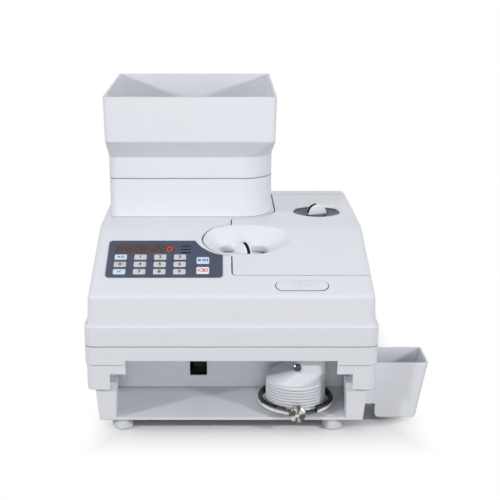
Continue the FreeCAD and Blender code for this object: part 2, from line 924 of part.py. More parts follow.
def make_overlay():
    sheet_plate = slab(
        "overlay_sheet",
        d.pad_right - d.pad_left,
        along_slope(d.pad_back - d.pad_front),
        d.pad_thick,
        d.pad_corner,
        pad_x,
        pad_y,
        Size("0.0"),
    )
    holes = [pad_bite("overlay_bite", -d.wall)]
    gap = d.slide_gap * 2
    for label, x, y, width, height in KEYS:
        holes.append(
            slab(
                f"{label}_hole",
                width + gap,
                height + gap,
                d.wall,
                d.key_corner + d.slide_gap,
                x,
                y,
                -d.wall / 2,
            )
        )
    gap = d.seat_gap * 2
    holes.append(
        slab(
            "display_hole",
            d.display_width + gap,
            d.display_height + gap,
            d.wall,
            d.key_corner,
            d.display_x,
            d.display_y,
            -d.wall / 2,
        )
    )
    return cut("overlay_form", sheet_plate, *holes)


keep(make_overlay(), "keypad_overlay")
for key_label, key_x, key_y, key_w, key_h in KEYS:
    key_thick = d.key_depth + d.pad_thick + d.key_proud
    key_slab = slab(f"{key_label}_slab", key_w, key_h, key_thick, d.key_corner, key_x, key_y, -d.key_depth)
    keep(key_slab, key_label)
keep(
    slab(
        "display_slab",
        d.display_width,
        d.display_height,
        d.pad_thick + d.key_depth,
        d.key_corner,
        d.display_x,
        d.display_y,
        -d.key_depth,
    ),
    "display_window",
)
board_lift = -d.wall - d.board_thick
board_plate = pad_window("board_plate", d.pad_margin - d.seat_gap * 10, board_lift, d.board_thick)
keep(cut("keypad_board_form", board_plate, pad_bite("board_bite", board_lift - d.wall)), "keypad_board")


def button_slab(name, grow, lift, thick):
    width = d.button_width + grow * 2
    height = d.button_height + grow * 2
    return slab(name, width, height, thick, height / 2 - d.seat_gap, d.button_x, d.button_y, lift)


button_thick = d.button_depth + d.button_proud
keep(button_slab("hatch_button_pill", Size("0.0"), -d.button_depth, button_thick), "hatch_button")


def make_top_cover():
    through = d.wall * 4
    own, other = hinge_side("cover", 1)
    throat_z = (d.top_z - d.rear_round, d.top_z + d.wall)
    throat = rod("cover_throat", "z", (d.disc_x, d.disc_y), throat_z, d.throat_half + d.wall)
    shell = cut(
        "cover_cut",
        cover_shell,
        hatch_outline("hatch_room", d.hatch_gap),
        pad_window("pad_opening", Size("0.0"), -d.wall * 2, through),
        button_slab("button_hole", d.button_gap, -d.wall * 2, through),
        throat,
    )
    return cut("cover_form", join("cover_with_knuckles", shell, *own), hinge_bore("cover_bore"), *other)


keep(make_top_cover(), "top_cover")


# Hopper: a block on the cover and a thin-walled funnel on the block
def hopper_corners(inset):
    small = d.hopper_corner - inset
    return (small, d.hopper_big_corner - inset, small, small)


def hopper_plan(inset):
    x = (d.hopper_left + inset, d.hopper_right - inset)
    return x, (d.hopper_front + inset, d.hopper_back - inset)


def make_hopper_base():
    groove_z = d.hopper_seam_z - d.seam_groove
    layers = []
    for label, inset, heights in (
        ("wall", Size("0.0"), (d.rear_knee_z, groove_z)),
        ("lip", d.seam_depth, (groove_z, d.hopper_seam_z)),
    ):
        x, y = hopper_plan(inset)
        layers.append(loft(f"hopper_base_{label}", [(x, y, z, hopper_corners(inset)) for z in heights]))
    outer = join("hopper_base_outer", *layers)
    inside_x, inside_y = hopper_plan(d.hopper_wall)
    throat_x = (d.disc_x - d.throat_half, d.disc_x + d.throat_half)
    throat_y = (d.disc_y - d.throat_half, d.disc_y + d.throat_half)
    throat_corner = d.throat_half - d.seat_gap * 10
    funnel = loft(
        "hopper_base_funnel",
        [
            (throat_x, throat_y, d.top_z - d.wall, (throat_corner,) * 4),
            (inside_x, inside_y, d.hopper_seam_z, hopper_corners(d.hopper_wall)),
        ],
    )
    return cut("hopper_base_form", outer, funnel, cover_outer)


def hopper_sections(inset, over):
    x, y = hopper_plan(inset)
    tub_x = (x[0] - d.hopper_flare, x[1] + d.hopper_flare)
    tub_y = (y[0] - d.hopper_reach_front + d.hopper_draft, y[1] + d.hopper_reach_back - d.hopper_draft)
    rim_x = (tub_x[0] - d.hopper_draft, tub_x[1] + d.hopper_draft)
    rim_y = (tub_y[0] - d.hopper_draft, tub_y[1] + d.hopper_draft)
    rim_corners = (d.rim_corner - inset,) * 4
    top = d.hopper_rim_z + d.hopper_rim_rise + over
    return [
        (x, y, d.hopper_seam_z, hopper_corners(inset)),
        (x, y, d.hopper_waist_z, hopper_corners(inset)),
        (tub_x, tub_y, d.hopper_brow_z, rim_corners),
        (rim_x, rim_y, top, rim_corners),
    ]


def make_hopper_funnel():
    outer = loft("hopper_funnel_outer", hopper_sections(Size("0.0"), d.hopper_wall))
    inner = loft("hopper_funnel_inner", hopper_sections(d.hopper_wall, d.hopper_wall))
    front = d.hopper_front - d.hopper_reach_front
    back = d.hopper_back + d.hopper_reach_back
    over = d.hopper_rim_z + d.hopper_rim_rise * 2 + d.hopper_wall
    trim = [
        (front - d.wall, d.hopper_rim_z),
        (back + d.wall, d.hopper_rim_z + d.hopper_rim_rise),
        (back + d.wall, over),
        (front - d.wall, over),
    ]
    return cut("hopper_funnel_form", outer, inner, prism("hopper_trim", "x", trim, (-half, half)))


keep(make_hopper_base(), "hopper_base")
keep(make_hopper_funnel(), "hopper_funnel")


# Base: floor plate, two front legs, thin side and back walls, and posts for the deck
def leg_points(side, thick=None):
    outer_top, outer_low = d.leg_top_outer, d.leg_bottom_outer
    inner_top = d.leg_top_inner if thick is None else outer_top - thick
    inner_low = d.leg_bottom_inner if thick is None else outer_low - thick
    points = [
        (outer_low, d.base_bottom),
        (outer_top, d.leg_top),
        (inner_top, d.leg_top),
        (inner_low, d.base_bottom),
    ]
    return [(u * side, v) for u, v in points]


screw_tip = base_top - d.screw_cover
screw_seat = screw_tip - d.screw_length


def foot_spots():
    return [(d.foot_x * side + d.foot_shift, y) for side in (-1, 1) for y in (d.foot_front_y, d.foot_back_y)]


def make_base():
    pieces = [
        block(
            "base_plate",
            (-d.base_half, d.base_half),
            (d.base_front, d.base_back),
            (d.base_bottom, base_top),
        )
    ]
    leg_y = (d.base_front, d.base_front + d.leg_depth)
    rim_z = (d.leg_top - d.base_thick, d.leg_top)
    rim_edge = half - d.skirt_inset - d.wall - d.seat_gap
    rim_inner = d.leg_top_outer - d.base_thick
    for side, label in ((-1, "left"), (1, "right")):
        pieces.append(prism(f"leg_{label}", "y", leg_points(side), leg_y))
        pieces.append(prism(f"side_{label}", "y", leg_points(side, d.base_thick), (leg_y[1], d.base_back)))
        rim_x = (-rim_edge, -rim_inner) if side < 0 else (rim_inner, rim_edge)
        pieces.append(block(f"rim_{label}", rim_x, (leg_y[1], d.base_back - d.case_corner), rim_z))
        for spot, y in (("front", d.post_front_y), ("back", d.post_back_y)):
            span = (base_top, deck_bottom)
            pieces.append(rod(f"post_{label}_{spot}", "z", (d.post_x * side, y), span, d.post_radius))
    back_y = (d.base_back - d.base_thick, d.base_back)
    pieces.append(
        block(
            "base_back",
            (-d.base_half, d.base_half),
            back_y,
            (d.base_bottom, d.inlet_bottom - d.base_thick),
        ),
    )
    gap = d.tray_side_gap
    tray_y = (d.tray_front - gap, d.tray_front + d.tray_depth + gap)
    tray_z = (d.tray_shelf_z - gap, d.leg_top + gap)
    window = block("tray_window", (d.tray_inner_x - gap, half), tray_y, tray_z)
    span = (d.base_bottom - d.wall, screw_tip)
    bore = d.screw_shank_radius + d.running_gap
    holes = [rod(f"foot_hole{index}", "z", spot, span, bore) for index, spot in enumerate(foot_spots())]
    return cut("base_form", join("base_solid", *pieces), window, *holes)


keep(make_base(), "base_tub")


def make_feet():
    low = d.foot_radius - d.foot_bevel
    well = d.screw_head_radius + d.slide_gap * 2
    bore = d.screw_shank_radius + d.running_gap
    profile = [
        (well, 0),
        (low, 0),
        (d.foot_radius, d.foot_bevel),
        (d.foot_radius, d.base_bottom),
        (bore, d.base_bottom),
        (bore, screw_seat),
        (well, screw_seat),
    ]
    feet = []
    for x, y in foot_spots():
        feet.append(turned(f"foot{len(feet)}", profile, (x, y, 0)))
    return group("feet_group", *feet)


keep(make_feet(), "feet")


# Bay liner: back wall with a square port, ceiling and side walls behind the legs
clamp_low = d.clamp_z - d.clamp_height / 2
clamp_high = d.clamp_z + d.clamp_height / 2


def make_bay_liner():
    wall_y = (d.bay_wall_y, d.bay_wall_y + d.wall)
    high = d.bay_ceiling + d.wall
    side_y = (d.base_front + d.leg_depth + d.seat_gap, wall_y[1])
    floor = base_top + d.seat_gap
    across = (-d.bay_side, d.bay_side)
    jamb_y = (d.skirt_inset + d.wall + d.seat_gap, side_y[0])
    jamb_z = (d.leg_top + d.seat_gap, high)
    pieces = [
        block("bay_back", across, wall_y, (floor, high)),
        block("bay_roof", across, (d.wall * 2, wall_y[1]), (d.bay_ceiling, high)),
        block("bay_left", (-d.bay_side, d.wall - d.bay_side), side_y, (floor, high)),
        block("bay_right", (d.bay_side - d.wall, d.bay_side), side_y, (floor, high)),
        block("bay_left_jamb", (-d.bay_side, d.wall - d.bay_side), jamb_y, jamb_z),
        block("bay_right_jamb", (d.bay_side - d.wall, d.bay_side), jamb_y, jamb_z),
        block(
            "clamp_boss",
            (d.spout_x - d.clamp_height, d.spout_x + d.clamp_height),
            (d.spout_y + d.clamp_radius - d.clamp_band, d.bay_wall_y),
            (clamp_low, clamp_high),
        ),
    ]
    port_x = (d.port_left, d.port_left + d.port_width)
    port_z = (d.port_bottom, d.port_bottom + d.port_height)
    port = block("bay_port", port_x, (d.bay_wall_y - d.wall, wall_y[1] + d.wall), port_z)
    ring_room = rod(
        "clamp_room", "z", (d.spout_x, d.spout_y), (clamp_low, clamp_high), d.clamp_radius + d.running_gap
    )
    gap = d.chute_wall
    hood_x = (d.hood_left + gap, d.hood_right - gap)
    hood_y = (d.hood_front + gap, d.hood_back - gap)
    mouth = block("bay_mouth", hood_x, hood_y, (d.bay_ceiling - d.wall, high + d.wall))
    return cut("bay_form", join("bay_solid", *pieces), port, ring_room, mouth)


keep(make_bay_liner(), "bay_liner")


# Spout: ribbed collar below, a shoulder that leans to the right, and a hood up to the bay's ceiling
rib_top = d.spout_bottom + d.rib_pitch * d.rib_count


def make_spout():
    bore = d.spout_radius - d.spout_wall
    groove = d.spout_radius - d.rib_depth
    shoulder_low = rib_top + d.rib_pitch * 0.3
    profile = [(bore, d.spout_bottom)]
    for index in range(int(SIZES["rib_count"])):
        low = d.spout_bottom + d.rib_pitch * index
        profile += [
            (d.spout_radius, low),
            (d.spout_radius, low + d.rib_pitch * 0.6),
            (groove, low + d.rib_pitch * 0.7),
            (groove, low + d.rib_pitch),
        ]
    profile += [(groove, shoulder_low), (bore, shoulder_low)]
    collar = turned("spout_collar", profile, (d.spout_x, d.spout_y, 0))

    def hood(name, inset, over):
        reach = d.spout_radius - inset
        low_x = (d.spout_x - reach, d.spout_x + reach)
        low_y = (d.spout_y - reach, d.spout_y + reach)
        high_x = (d.hood_left + inset, d.hood_right - inset)
        high_y = (d.hood_front + inset, d.hood_back - inset)
        corners = (d.hood_corner - inset / 2,) * 4
        return loft(
            name,
            [
                (low_x, low_y, shoulder_low - over, (reach - d.seat_gap * 5,) * 4),
                (high_x, high_y, d.shoulder_top, corners),
                (high_x, high_y, d.bay_ceiling + over, corners),
            ],
        )

    hood_solid = hood("hood_outer", Size("0.0"), Size("0.0"))
    hood_shell = cut("spout_hood", hood_solid, hood("hood_inner", d.spout_wall, d.seat_gap))
    bore_radius = d.screw_shank_radius + d.running_gap
    hole = rod("spout_screw_hole", "y", (d.screw_x, d.screw_z), (0, d.spout_y), bore_radius)
    return cut("spout_form", join("spout_solid", collar, hood_shell), hole)


keep(make_spout(), "spout")


# Screws: one in the spout's front and one up through each foot
def screw(name, spot, axis):
    """A pan head with a cross slot, and its shank."""
    head = d.screw_head_height
    profile = [
        (0, 0),
        (d.screw_head_radius * 0.7, 0),
        (d.screw_head_radius, head * 0.5),
        (d.screw_head_radius, head),
        (d.screw_shank_radius, head),
        (d.screw_shank_radius, head + d.screw_length),
        (0, head + d.screw_length),
    ]
    body = turned(f"{name}_turned", profile, spot, axis)
    slots = []
    arm = d.screw_head_radius * 0.62
    slim = d.screw_head_radius * 0.14
    deep = d.screw_head_height * 0.6
    for index, (wide, tall) in enumerate(((arm, slim), (slim, arm))):
        x = (spot[0] - wide, spot[0] + wide)
        if axis == "y":
            y = (spot[1] - head, spot[1] + deep)
            z = (spot[2] - tall, spot[2] + tall)
        else:
            y = (spot[1] - tall, spot[1] + tall)
            z = (spot[2] - head, spot[2] + deep)
        slots.append(block(f"{name}_slot{index}", x, y, z))
    return cut(name, body, *slots)


def make_screws():
    spout_spot = (d.screw_x, d.hood_front - d.screw_head_height, d.screw_z)
    screws = [screw("screw_spout", spout_spot, "y")]
    for x, y in foot_spots():
        spot = (x, y, screw_seat - d.screw_head_height)
        screws.append(screw(f"screw_foot{len(screws)}", spot, "z"))
    return group("screws_group", *screws)


# Clamp ring: an open band with a lug and a stud at one end, and its thumb knob
def make_clamp_ring():
    inner = d.clamp_radius - d.clamp_band
    r = d.clamp_round
    half_height = d.clamp_height / 2
    profile = [
        (inner, -half_height),
        (d.clamp_radius - r, -half_height),
        (d.clamp_radius, r - half_height),
        (d.clamp_radius, half_height - r),
        (d.clamp_radius - r, half_height),
        (inner, half_height),
    ]
    start = number(d.clamp_gap_start + d.clamp_gap_turn - 360)
    band = turned(
        "clamp_band_turned",
        profile,
        (d.spout_x, d.spout_y, d.clamp_z),
        turn=number(360 - d.clamp_gap_turn),
        start=start,
    )
    lug_front = d.clamp_knob_length - d.clamp_knob_front + d.slide_gap
    lug_y = (lug_front, lug_front + d.lug_thick)
    lug_x = (d.spout_x - d.clamp_radius * 0.36, d.stud_x + d.stud_radius * 2)
    lug = block("clamp_lug", lug_x, lug_y, (clamp_low + r, clamp_high - r))
    stud = rod(
        "clamp_stud",
        "y",
        (d.stud_x, d.clamp_z),
        (d.slide_gap - d.clamp_knob_front, lug_y[1]),
        d.stud_radius,
    )
    return join("clamp_ring_form", band, lug, stud)


def make_clamp_knob():
    r = d.clamp_knob_radius
    bore = d.stud_radius + d.running_gap
    length = d.clamp_knob_length
    profile = [
        (bore, 0),
        (r * 0.86, 0),
        (r, length * 0.16),
        (r, length * 0.8),
        (r * 0.9, length),
        (bore, length),
    ]
    return turned("clamp_knob_turned", profile, (d.stud_x, -d.clamp_knob_front, d.clamp_z), "y")


keep(make_clamp_ring(), "clamp_ring")
keep(make_clamp_knob(), "clamp_knob")
keep(make_screws(), "screws")


# Reject tray: a deep cup outside the case and a shallow shelf that reaches in below the chute
def tray_points(inset):
    left = half + d.tray_side_gap
    step = left + d.tray_wall
    return [
        (left + inset, d.tray_rim_z),
        (half + d.tray_reach - inset, d.tray_rim_z),
        (half + d.tray_foot_reach - inset, d.tray_bottom + inset),
        (step + inset, d.tray_bottom + inset),
        (step + inset, d.tray_shelf_z + inset),
        (d.tray_inner_x + inset, d.tray_shelf_z + inset),
        (d.tray_inner_x + inset, d.tray_inner_top),
        (left + inset, d.tray_inner_top),
    ]


def make_tray():
    y = (d.tray_front, d.tray_front + d.tray_depth)
    outer = prism("tray_outer", "y", tray_points(Size("0.0")), y)
    right = number(frame_x + half + d.tray_side_gap)
    low = number(d.tray_bottom)

    def outside(edge, mid):
        length = edge.Vertexes[0].Point - edge.Vertexes[-1].Point
        across = abs(length.y) > 1 and mid.x > right + 1 and mid.z < low + 0.1
        corner = abs(length.z) > number(d.tray_rim_z) / 2 and mid.x > right + 1 and abs(length.y) < 1
        return across or corner

    shell = rounded_edges("tray_rounded", outer, d.tray_corner, outside)
    inner_y = (y[0] + d.tray_wall, y[1] - d.tray_wall)
    inner = prism("tray_inner", "y", tray_points(d.tray_wall), inner_y)
    return cut("tray_form", shell, inner)


keep(make_tray(), "reject_tray")


# Deck, feed disc and its drive
def make_deck():
    plate = block(
        "deck_sheet",
        (-d.deck_half, d.deck_half),
        (d.deck_front, d.deck_back),
        (deck_bottom, d.deck_top),
    )
    z = (deck_bottom - d.wall, d.deck_top + d.wall)
    shaft = rod("deck_shaft_hole", "z", (d.disc_x, d.disc_y), z, d.shaft_radius * 1.5)
    exit_hole = block("deck_exit", (d.track_left, d.track_right), (d.deck_front + d.wall, d.track_front), z)
    slot_y = (d.reject_slot_y, d.reject_slot_y + d.reject_slot_depth)
    slot = block("deck_slot", (d.track_left, d.rail_x), slot_y, z)
    return cut("deck_form", plate, shaft, exit_hole, slot)


keep(make_deck(), "deck_plate")
disc_bottom = d.disc_top - d.disc_thick
keep(
    turned(
        "feed_disc_turned",
        [
            (d.shaft_radius + d.running_gap, disc_bottom),
            (d.disc_radius, disc_bottom),
            (d.disc_radius, d.disc_top),
            (d.shaft_radius * 4, d.disc_top),
            (d.shaft_radius + d.running_gap, d.disc_top + d.disc_cone_height),
        ],
        (d.disc_x, d.disc_y, 0),
    ),
    "feed_disc",
)
pulley_low = d.pulley_top - d.pulley_width
keep(
    rod(
        "disc_shaft_rod",
        "z",
        (d.disc_x, d.disc_y),
        (pulley_low, d.disc_top + d.disc_cone_height),
        d.shaft_radius,
    ),
    "disc_shaft",
)
keep(
    turned(
        "disc_bearing_turned",
        [
            (d.shaft_radius + d.running_gap, deck_bottom - d.bearing_height),
            (d.bearing_radius, deck_bottom - d.bearing_height),
            (d.bearing_radius, deck_bottom - d.flange_thick),
            (d.bearing_flange, deck_bottom - d.flange_thick),
            (d.bearing_flange, deck_bottom),
            (d.shaft_radius + d.running_gap, deck_bottom),
        ],
        (d.disc_x, d.disc_y, 0),
    ),
    "disc_bearing",
)


def pulley_profile(radius, bore, low, width):
    rim = (width - d.belt_width) / 2 - d.slide_gap
    edge = radius + d.belt_thick / 2
    return [
        (bore, low),
        (edge, low),
        (edge, low + rim),
        (radius, low + rim),
        (radius, low + width - rim),
        (edge, low + width - rim),
        (edge, low + width),
        (bore, low + width),
    ]


keep(
    turned(
        "disc_pulley_turned",
        pulley_profile(d.disc_pulley_radius, d.shaft_radius + d.running_gap, pulley_low, d.pulley_width),
        (d.disc_x, d.disc_y, 0),
    ),
    "disc_pulley",
)
keep(
    turned(
        "motor_pulley_turned",
        pulley_profile(
            d.motor_pulley_radius,
            d.motor_shaft_radius + d.running_gap,
            pulley_low,
            d.pulley_width,
        ),
        (d.motor_x, d.motor_y, 0),
    ),
    "motor_pulley",
)
motor_can = rod("motor_can", "z", (d.motor_x, d.motor_y), (base_top, d.motor_top), d.motor_radius)
motor_shaft = rod(
    "motor_shaft",
    "z",
    (d.motor_x, d.motor_y),
    (d.motor_top, d.pulley_top),
    d.motor_shaft_radius,
)
keep(join("feed_motor_form", motor_can, motor_shaft), "feed_motor")


def loop_face(first, second, radii):
    """The flat outline of a belt round two circles in a plane, as points and tangent arcs."""
    run = second - first
    bearing = math.atan2(run.y, run.x)
    spread = math.acos((radii[0] - radii[1]) / run.Length)

    def rim(centre, radius, angle):
        return centre + FreeCAD.Vector(math.cos(angle), math.sin(angle), 0) * radius

    up, down = bearing + spread, bearing - spread
    a, b = rim(first, radii[0], up), rim(first, radii[0], down)
    e, f = rim(second, radii[1], up), rim(second, radii[1], down)
    wire = Part.Wire(
        [
            Part.Arc(a, rim(first, radii[0], bearing + math.pi), b).toShape(),
            Part.LineSegment(b, f).toShape(),
            Part.Arc(f, rim(second, radii[1], bearing), e).toShape(),
            Part.LineSegment(e, a).toShape(),
        ]
    )
    return Part.Face(wire)


def belt(name, first, second, radii, thick, width):
    """A closed belt whose inside runs just off its two pulleys."""
    gap = number(d.slide_gap)
    inside = [number(radius) + gap for radius in radii]
    outside = [radius + number(thick) for radius in inside]
    ring = loop_face(first, second, outside).cut(loop_face(first, second, inside))
    item = doc.addObject("Part::Feature", name)
    item.Shape = ring.extrude(FreeCAD.Vector(0, 0, number(width)))
    return item


def flat_spot(x, y):
    return FreeCAD.Vector(number(x), number(y), 0)


drive_belt = belt(
    "drive_belt_loop",
    flat_spot(d.disc_x, d.disc_y),
    flat_spot(d.motor_x, d.motor_y),
    (d.disc_pulley_radius, d.motor_pulley_radius),
    d.belt_thick,
    d.belt_width,
)
keep(place(drive_belt, 0, 0, pulley_low + (d.pulley_width - d.belt_width) / 2), "drive_belt")

ring_inner = d.disc_radius + d.ring_gap
ring_outer = ring_inner + d.ring_thick


def make_ring():
    wall = tube("ring_wall", "z", (d.disc_x, d.disc_y), (d.deck_top, d.ring_top), ring_outer, ring_inner)
    exit_x = (d.track_left, d.disc_x + ring_outer)
    exit_y = (d.disc_y - ring_outer, d.disc_y)
    window = block("ring_exit", exit_x, exit_y, (d.track_top, d.disc_top + d.exit_height))
    return cut("ring_form", wall, window)


keep(make_ring(), "retaining_ring")


# Coin track: the bed in front of the disc with its fixed guide
disc_room_radius = ring_outer + d.slide_gap


def make_track():
    back = d.disc_y - d.disc_radius / 2
    bed = block("track_bed", (d.track_left, d.track_right), (d.track_front, back), (d.deck_top, d.track_top))
    guide_x = (d.track_left - d.guide_thick, d.track_left)
    guide = block("track_guide", guide_x, (d.track_front, d.guide_back), (d.deck_top, d.guide_top))
    z = (d.deck_top - d.wall, d.guide_top + d.wall)
    disc_room = rod("track_disc_room", "z", (d.disc_x, d.disc_y), z, disc_room_radius)
    slot_y = (d.reject_slot_y, d.reject_slot_y + d.reject_slot_depth)
    slot = block("track_slot", (d.track_left + d.guide_thick, d.rail_x - d.gear_height), slot_y, z)
    return cut("track_form", join("track_solid", bed, guide), disc_room, slot)


keep(make_track(), "coin_track")


# Diameter rail: a plate beside the track, with a toothed bar that the dial's pinion drives
def involute_half_angle(radius, base):
    return math.sqrt((radius / base) ** 2 - 1) - math.acos(base / radius)


def pinion_face():
    """Outline of the pinion with involute flanks, thinned for backlash."""
    teeth = int(SIZES["gear_teeth"])
    module = number(d.gear_module)
    pitch = module * teeth / 2
    base = pitch * math.cos(math.radians(20))
    tip, root = pitch + module, pitch - 1.25 * module
    thick = math.pi / teeth / 2 - number(d.gear_backlash) / 4 / pitch
    reach = thick + involute_half_angle(pitch, base)
    flank = [base + (tip - base) * step / 5 for step in range(6)]
    points = []
    for tooth in range(teeth):
        middle = -math.pi / 2 + math.pi / teeth * (2 * tooth + 1)
        left = [(root, reach)] + [(r, reach - involute_half_angle(r, base)) for r in flank]
        sides = [(r, middle - a) for r, a in left] + [(r, middle + a) for r, a in reversed(left)]
        points += [FreeCAD.Vector(r * math.cos(a), r * math.sin(a), 0) for r, a in sides]
    return Part.Face(Part.makePolygon(points + points[:1]))


def rack_face():
    """Teeth along x that point back, about the pitch line at y = 0, with one tooth at x = 0."""
    module = number(d.gear_module)
    pitch = math.pi * module
    tall, deep = module, 1.25 * module
    lean = math.tan(math.radians(20))
    half_tooth = pitch / 4 - number(d.gear_backlash) / 4
    count = int(number(d.gear_teeth) / 2)
    end = (count + 0.5) * pitch
    points = [FreeCAD.Vector(-end, -deep * 2, 0), FreeCAD.Vector(-end, -deep, 0)]
    for tooth in range(-count, count + 1):
        for u, v in (
            (-half_tooth - deep * lean, -deep),
            (-half_tooth + tall * lean, tall),
            (half_tooth - tall * lean, tall),
            (half_tooth + deep * lean, -deep),
        ):
            points.append(FreeCAD.Vector(tooth * pitch + u, v, 0))
    points += [FreeCAD.Vector(end, -deep, 0), FreeCAD.Vector(end, -deep * 2, 0)]
    return Part.Face(Part.makePolygon(points + points[:1]))


def toothed(name, face, x, y):
    item = doc.addObject("Part::Feature", name)
    item.Shape = face.extrude(FreeCAD.Vector(0, 0, number(d.gear_height)))
    return place(item, x, y, gear_bottom)


bar_back = rack_line - d.gear_module * 1.25
bar_front = bar_back - d.rack_bar


def make_rail():
    rail_z = (d.track_top + d.rail_lift, d.rail_top)
    plate = block("rail_plate", (d.rail_x, d.rail_x + d.rail_thick), (d.rail_front, bar_back), rail_z)
    bar = block("rail_bar", (d.rail_x, d.rack_reach), (bar_front, bar_back), (gear_bottom, d.rail_top))
    teeth = toothed("rail_teeth", rack_face(), d.diameter_x, rack_line)
    return join("rail_form", plate, bar, teeth)


keep(make_rail(), "diameter_rail")


def make_pinion():
    gear = toothed("pinion_gear", pinion_face(), d.diameter_x, d.diameter_y)
    span = (gear_bottom - d.knob_base_height, dial_knob_floor)
    shaft = rod("pinion_shaft", "z", (d.diameter_x, d.diameter_y), span, d.knob_shaft_radius)
    return join("pinion_form", gear, shaft)


dial_knob_floor = d.dial_floor_z + d.dial_thick + d.slide_gap
keep(make_pinion(), "diameter_pinion")


def make_bracket():
    """An upright behind the pinion, a shelf over it, and a guide for the toothed bar."""
    x = (d.diameter_x - d.bracket_half, d.diameter_x + d.bracket_half)
    back = d.diameter_y + pitch_radius + d.gear_module * 3
    upright_wall = block("bracket_wall", x, (back, back + d.bracket_thick), (d.deck_top, d.bracket_top))
    front = d.diameter_y - d.knob_base_radius
    shelf = block("bracket_shelf", x, (front, back), (d.bracket_top - d.bracket_thick, d.bracket_top))
    guide_x = (d.track_right + d.bracket_half, d.track_right + d.bracket_half * 2)
    gap = d.slide_gap
    guide_y = (bar_front - d.bracket_thick, bar_back + d.bracket_thick)
    guide = block("bar_guide", guide_x, guide_y, (d.deck_top, d.rail_top + d.bracket_thick))
    foot_x = (guide_x[0], x[1])
    foot = block(
        "bracket_foot",
        foot_x,
        (bar_back + gap, back + d.bracket_thick),
        (d.deck_top, d.deck_top + d.deck_thick),
    )
    channel = block(
        "bar_channel",
        (guide_x[0] - d.wall, guide_x[1] + d.wall),
        (bar_front - gap, bar_back + gap),
        (gear_bottom - gap, d.rail_top + gap),
    )
    bore = rod(
        "bracket_bore",
        "z",
        (d.diameter_x, d.diameter_y),
        (d.deck_top, d.bracket_top + d.wall),
        d.knob_shaft_radius + d.running_gap,
    )
    return cut("bracket_form", join("bracket_solid", upright_wall, shelf, guide, foot), channel, bore)


keep(make_bracket(), "dial_bracket")
dial_rim_z = d.top_z - d.wall - d.slide_gap * 2
keep(
    turned(
        "dial_dish_turned",
        [
            (d.knob_shaft_radius + d.running_gap, d.bracket_top),
            (d.dial_sleeve_radius, d.bracket_top),
            (d.dial_sleeve_radius, d.dial_floor_z),
            (d.knob_base_radius + d.dial_thick, d.dial_floor_z),
            (d.dial_radius + d.dial_lip, dial_rim_z - d.dial_thick),
            (d.dial_radius + d.dial_lip, dial_rim_z),
            (d.dial_radius, dial_rim_z),
            (d.knob_base_radius + d.dial_thick, d.dial_floor_z + d.dial_thick),
            (d.knob_shaft_radius + d.running_gap, d.dial_floor_z + d.dial_thick),
        ],
        (d.diameter_x, d.diameter_y, 0),
    ),
    "dial_dish",
)


# Knobs: a low disc with a half-round fin for the fingers
def knob_grip(name, x, y, floor, angle):
    base = rod(f"{name}_disc", "z", (x, y), (floor, floor + d.knob_base_height), d.knob_base_radius)
    fin = doc.addObject("Part::Cylinder", f"{name}_fin")
    bind(fin, Radius=d.knob_fin_radius, Height=d.knob_fin_thick)
    fin.Angle = 180
    turn = FreeCAD.Rotation(FreeCAD.Vector(0, 0, 1), number(angle))
    stand = turn.multiply(FreeCAD.Rotation(FreeCAD.Vector(1, 0, 0), 90))
    shift = Size(f"({d.knob_fin_thick.text} / 2)")
    cosine, sine = math.cos(math.radians(number(angle))), math.sin(math.radians(number(angle)))
    place(fin, x - shift * sine, y + shift * cosine, floor + d.knob_base_height, stand)
    return base, fin


def make_diameter_knob():
    base, fin = knob_grip("diameter_grip", d.diameter_x, d.diameter_y, dial_knob_floor, d.diameter_knob_angle)
    return join("diameter_knob_form", base, fin)


keep(make_diameter_knob(), "diameter_knob")
gate_hole = d.knob_shaft_radius + d.running_gap


def make_thickness_knob():
    floor = d.bridge_bottom + d.bridge_thick + d.slide_gap
    base, fin = knob_grip(
        "thickness_grip",
        d.thickness_x,
        d.thickness_y,
        thickness_floor,
        d.thickness_knob_angle,
    )
    neck = rod(
        "thickness_neck",
        "z",
        (d.thickness_x, d.thickness_y),
        (floor, thickness_floor),
        d.dial_sleeve_radius,
    )
    span = (d.gate_plate_z - d.slide_gap, floor)
    shaft = rod("thickness_shaft", "z", (d.thickness_x, d.thickness_y), span, d.knob_shaft_radius)
    return join("thickness_knob_form", base, fin, neck, shaft)


keep(make_thickness_knob(), "thickness_knob")
blade_x = (d.track_left + d.slide_gap, d.track_left + d.slide_gap + d.gate_blade)


def make_gate():
    plate_x = (blade_x[0], d.thickness_x + d.knob_shaft_radius * 2)
    y = (d.thickness_y - d.bridge_half, d.thickness_y + d.bridge_half)
    plate = block("gate_plate_block", plate_x, y, (d.gate_plate_z, d.gate_plate_z + d.gate_plate))
    blade = block("gate_blade_block", blade_x, y, (d.gate_bottom, d.gate_plate_z))
    bore = rod(
        "gate_bore",
        "z",
        (d.thickness_x, d.thickness_y),
        (d.gate_bottom, d.gate_plate_z + d.gate_plate * 2),
        gate_hole,
    )
    return cut("gate_form", join("gate_solid", plate, blade), bore)


keep(make_gate(), "thickness_gate")

# Track bridge: a beam over the gate and an arm on the guide that carries the transport belt
arm_x = (d.track_left - d.guide_thick, d.track_left)
arm_top = d.belt_axis_z + d.belt_pulley_radius + d.guide_thick


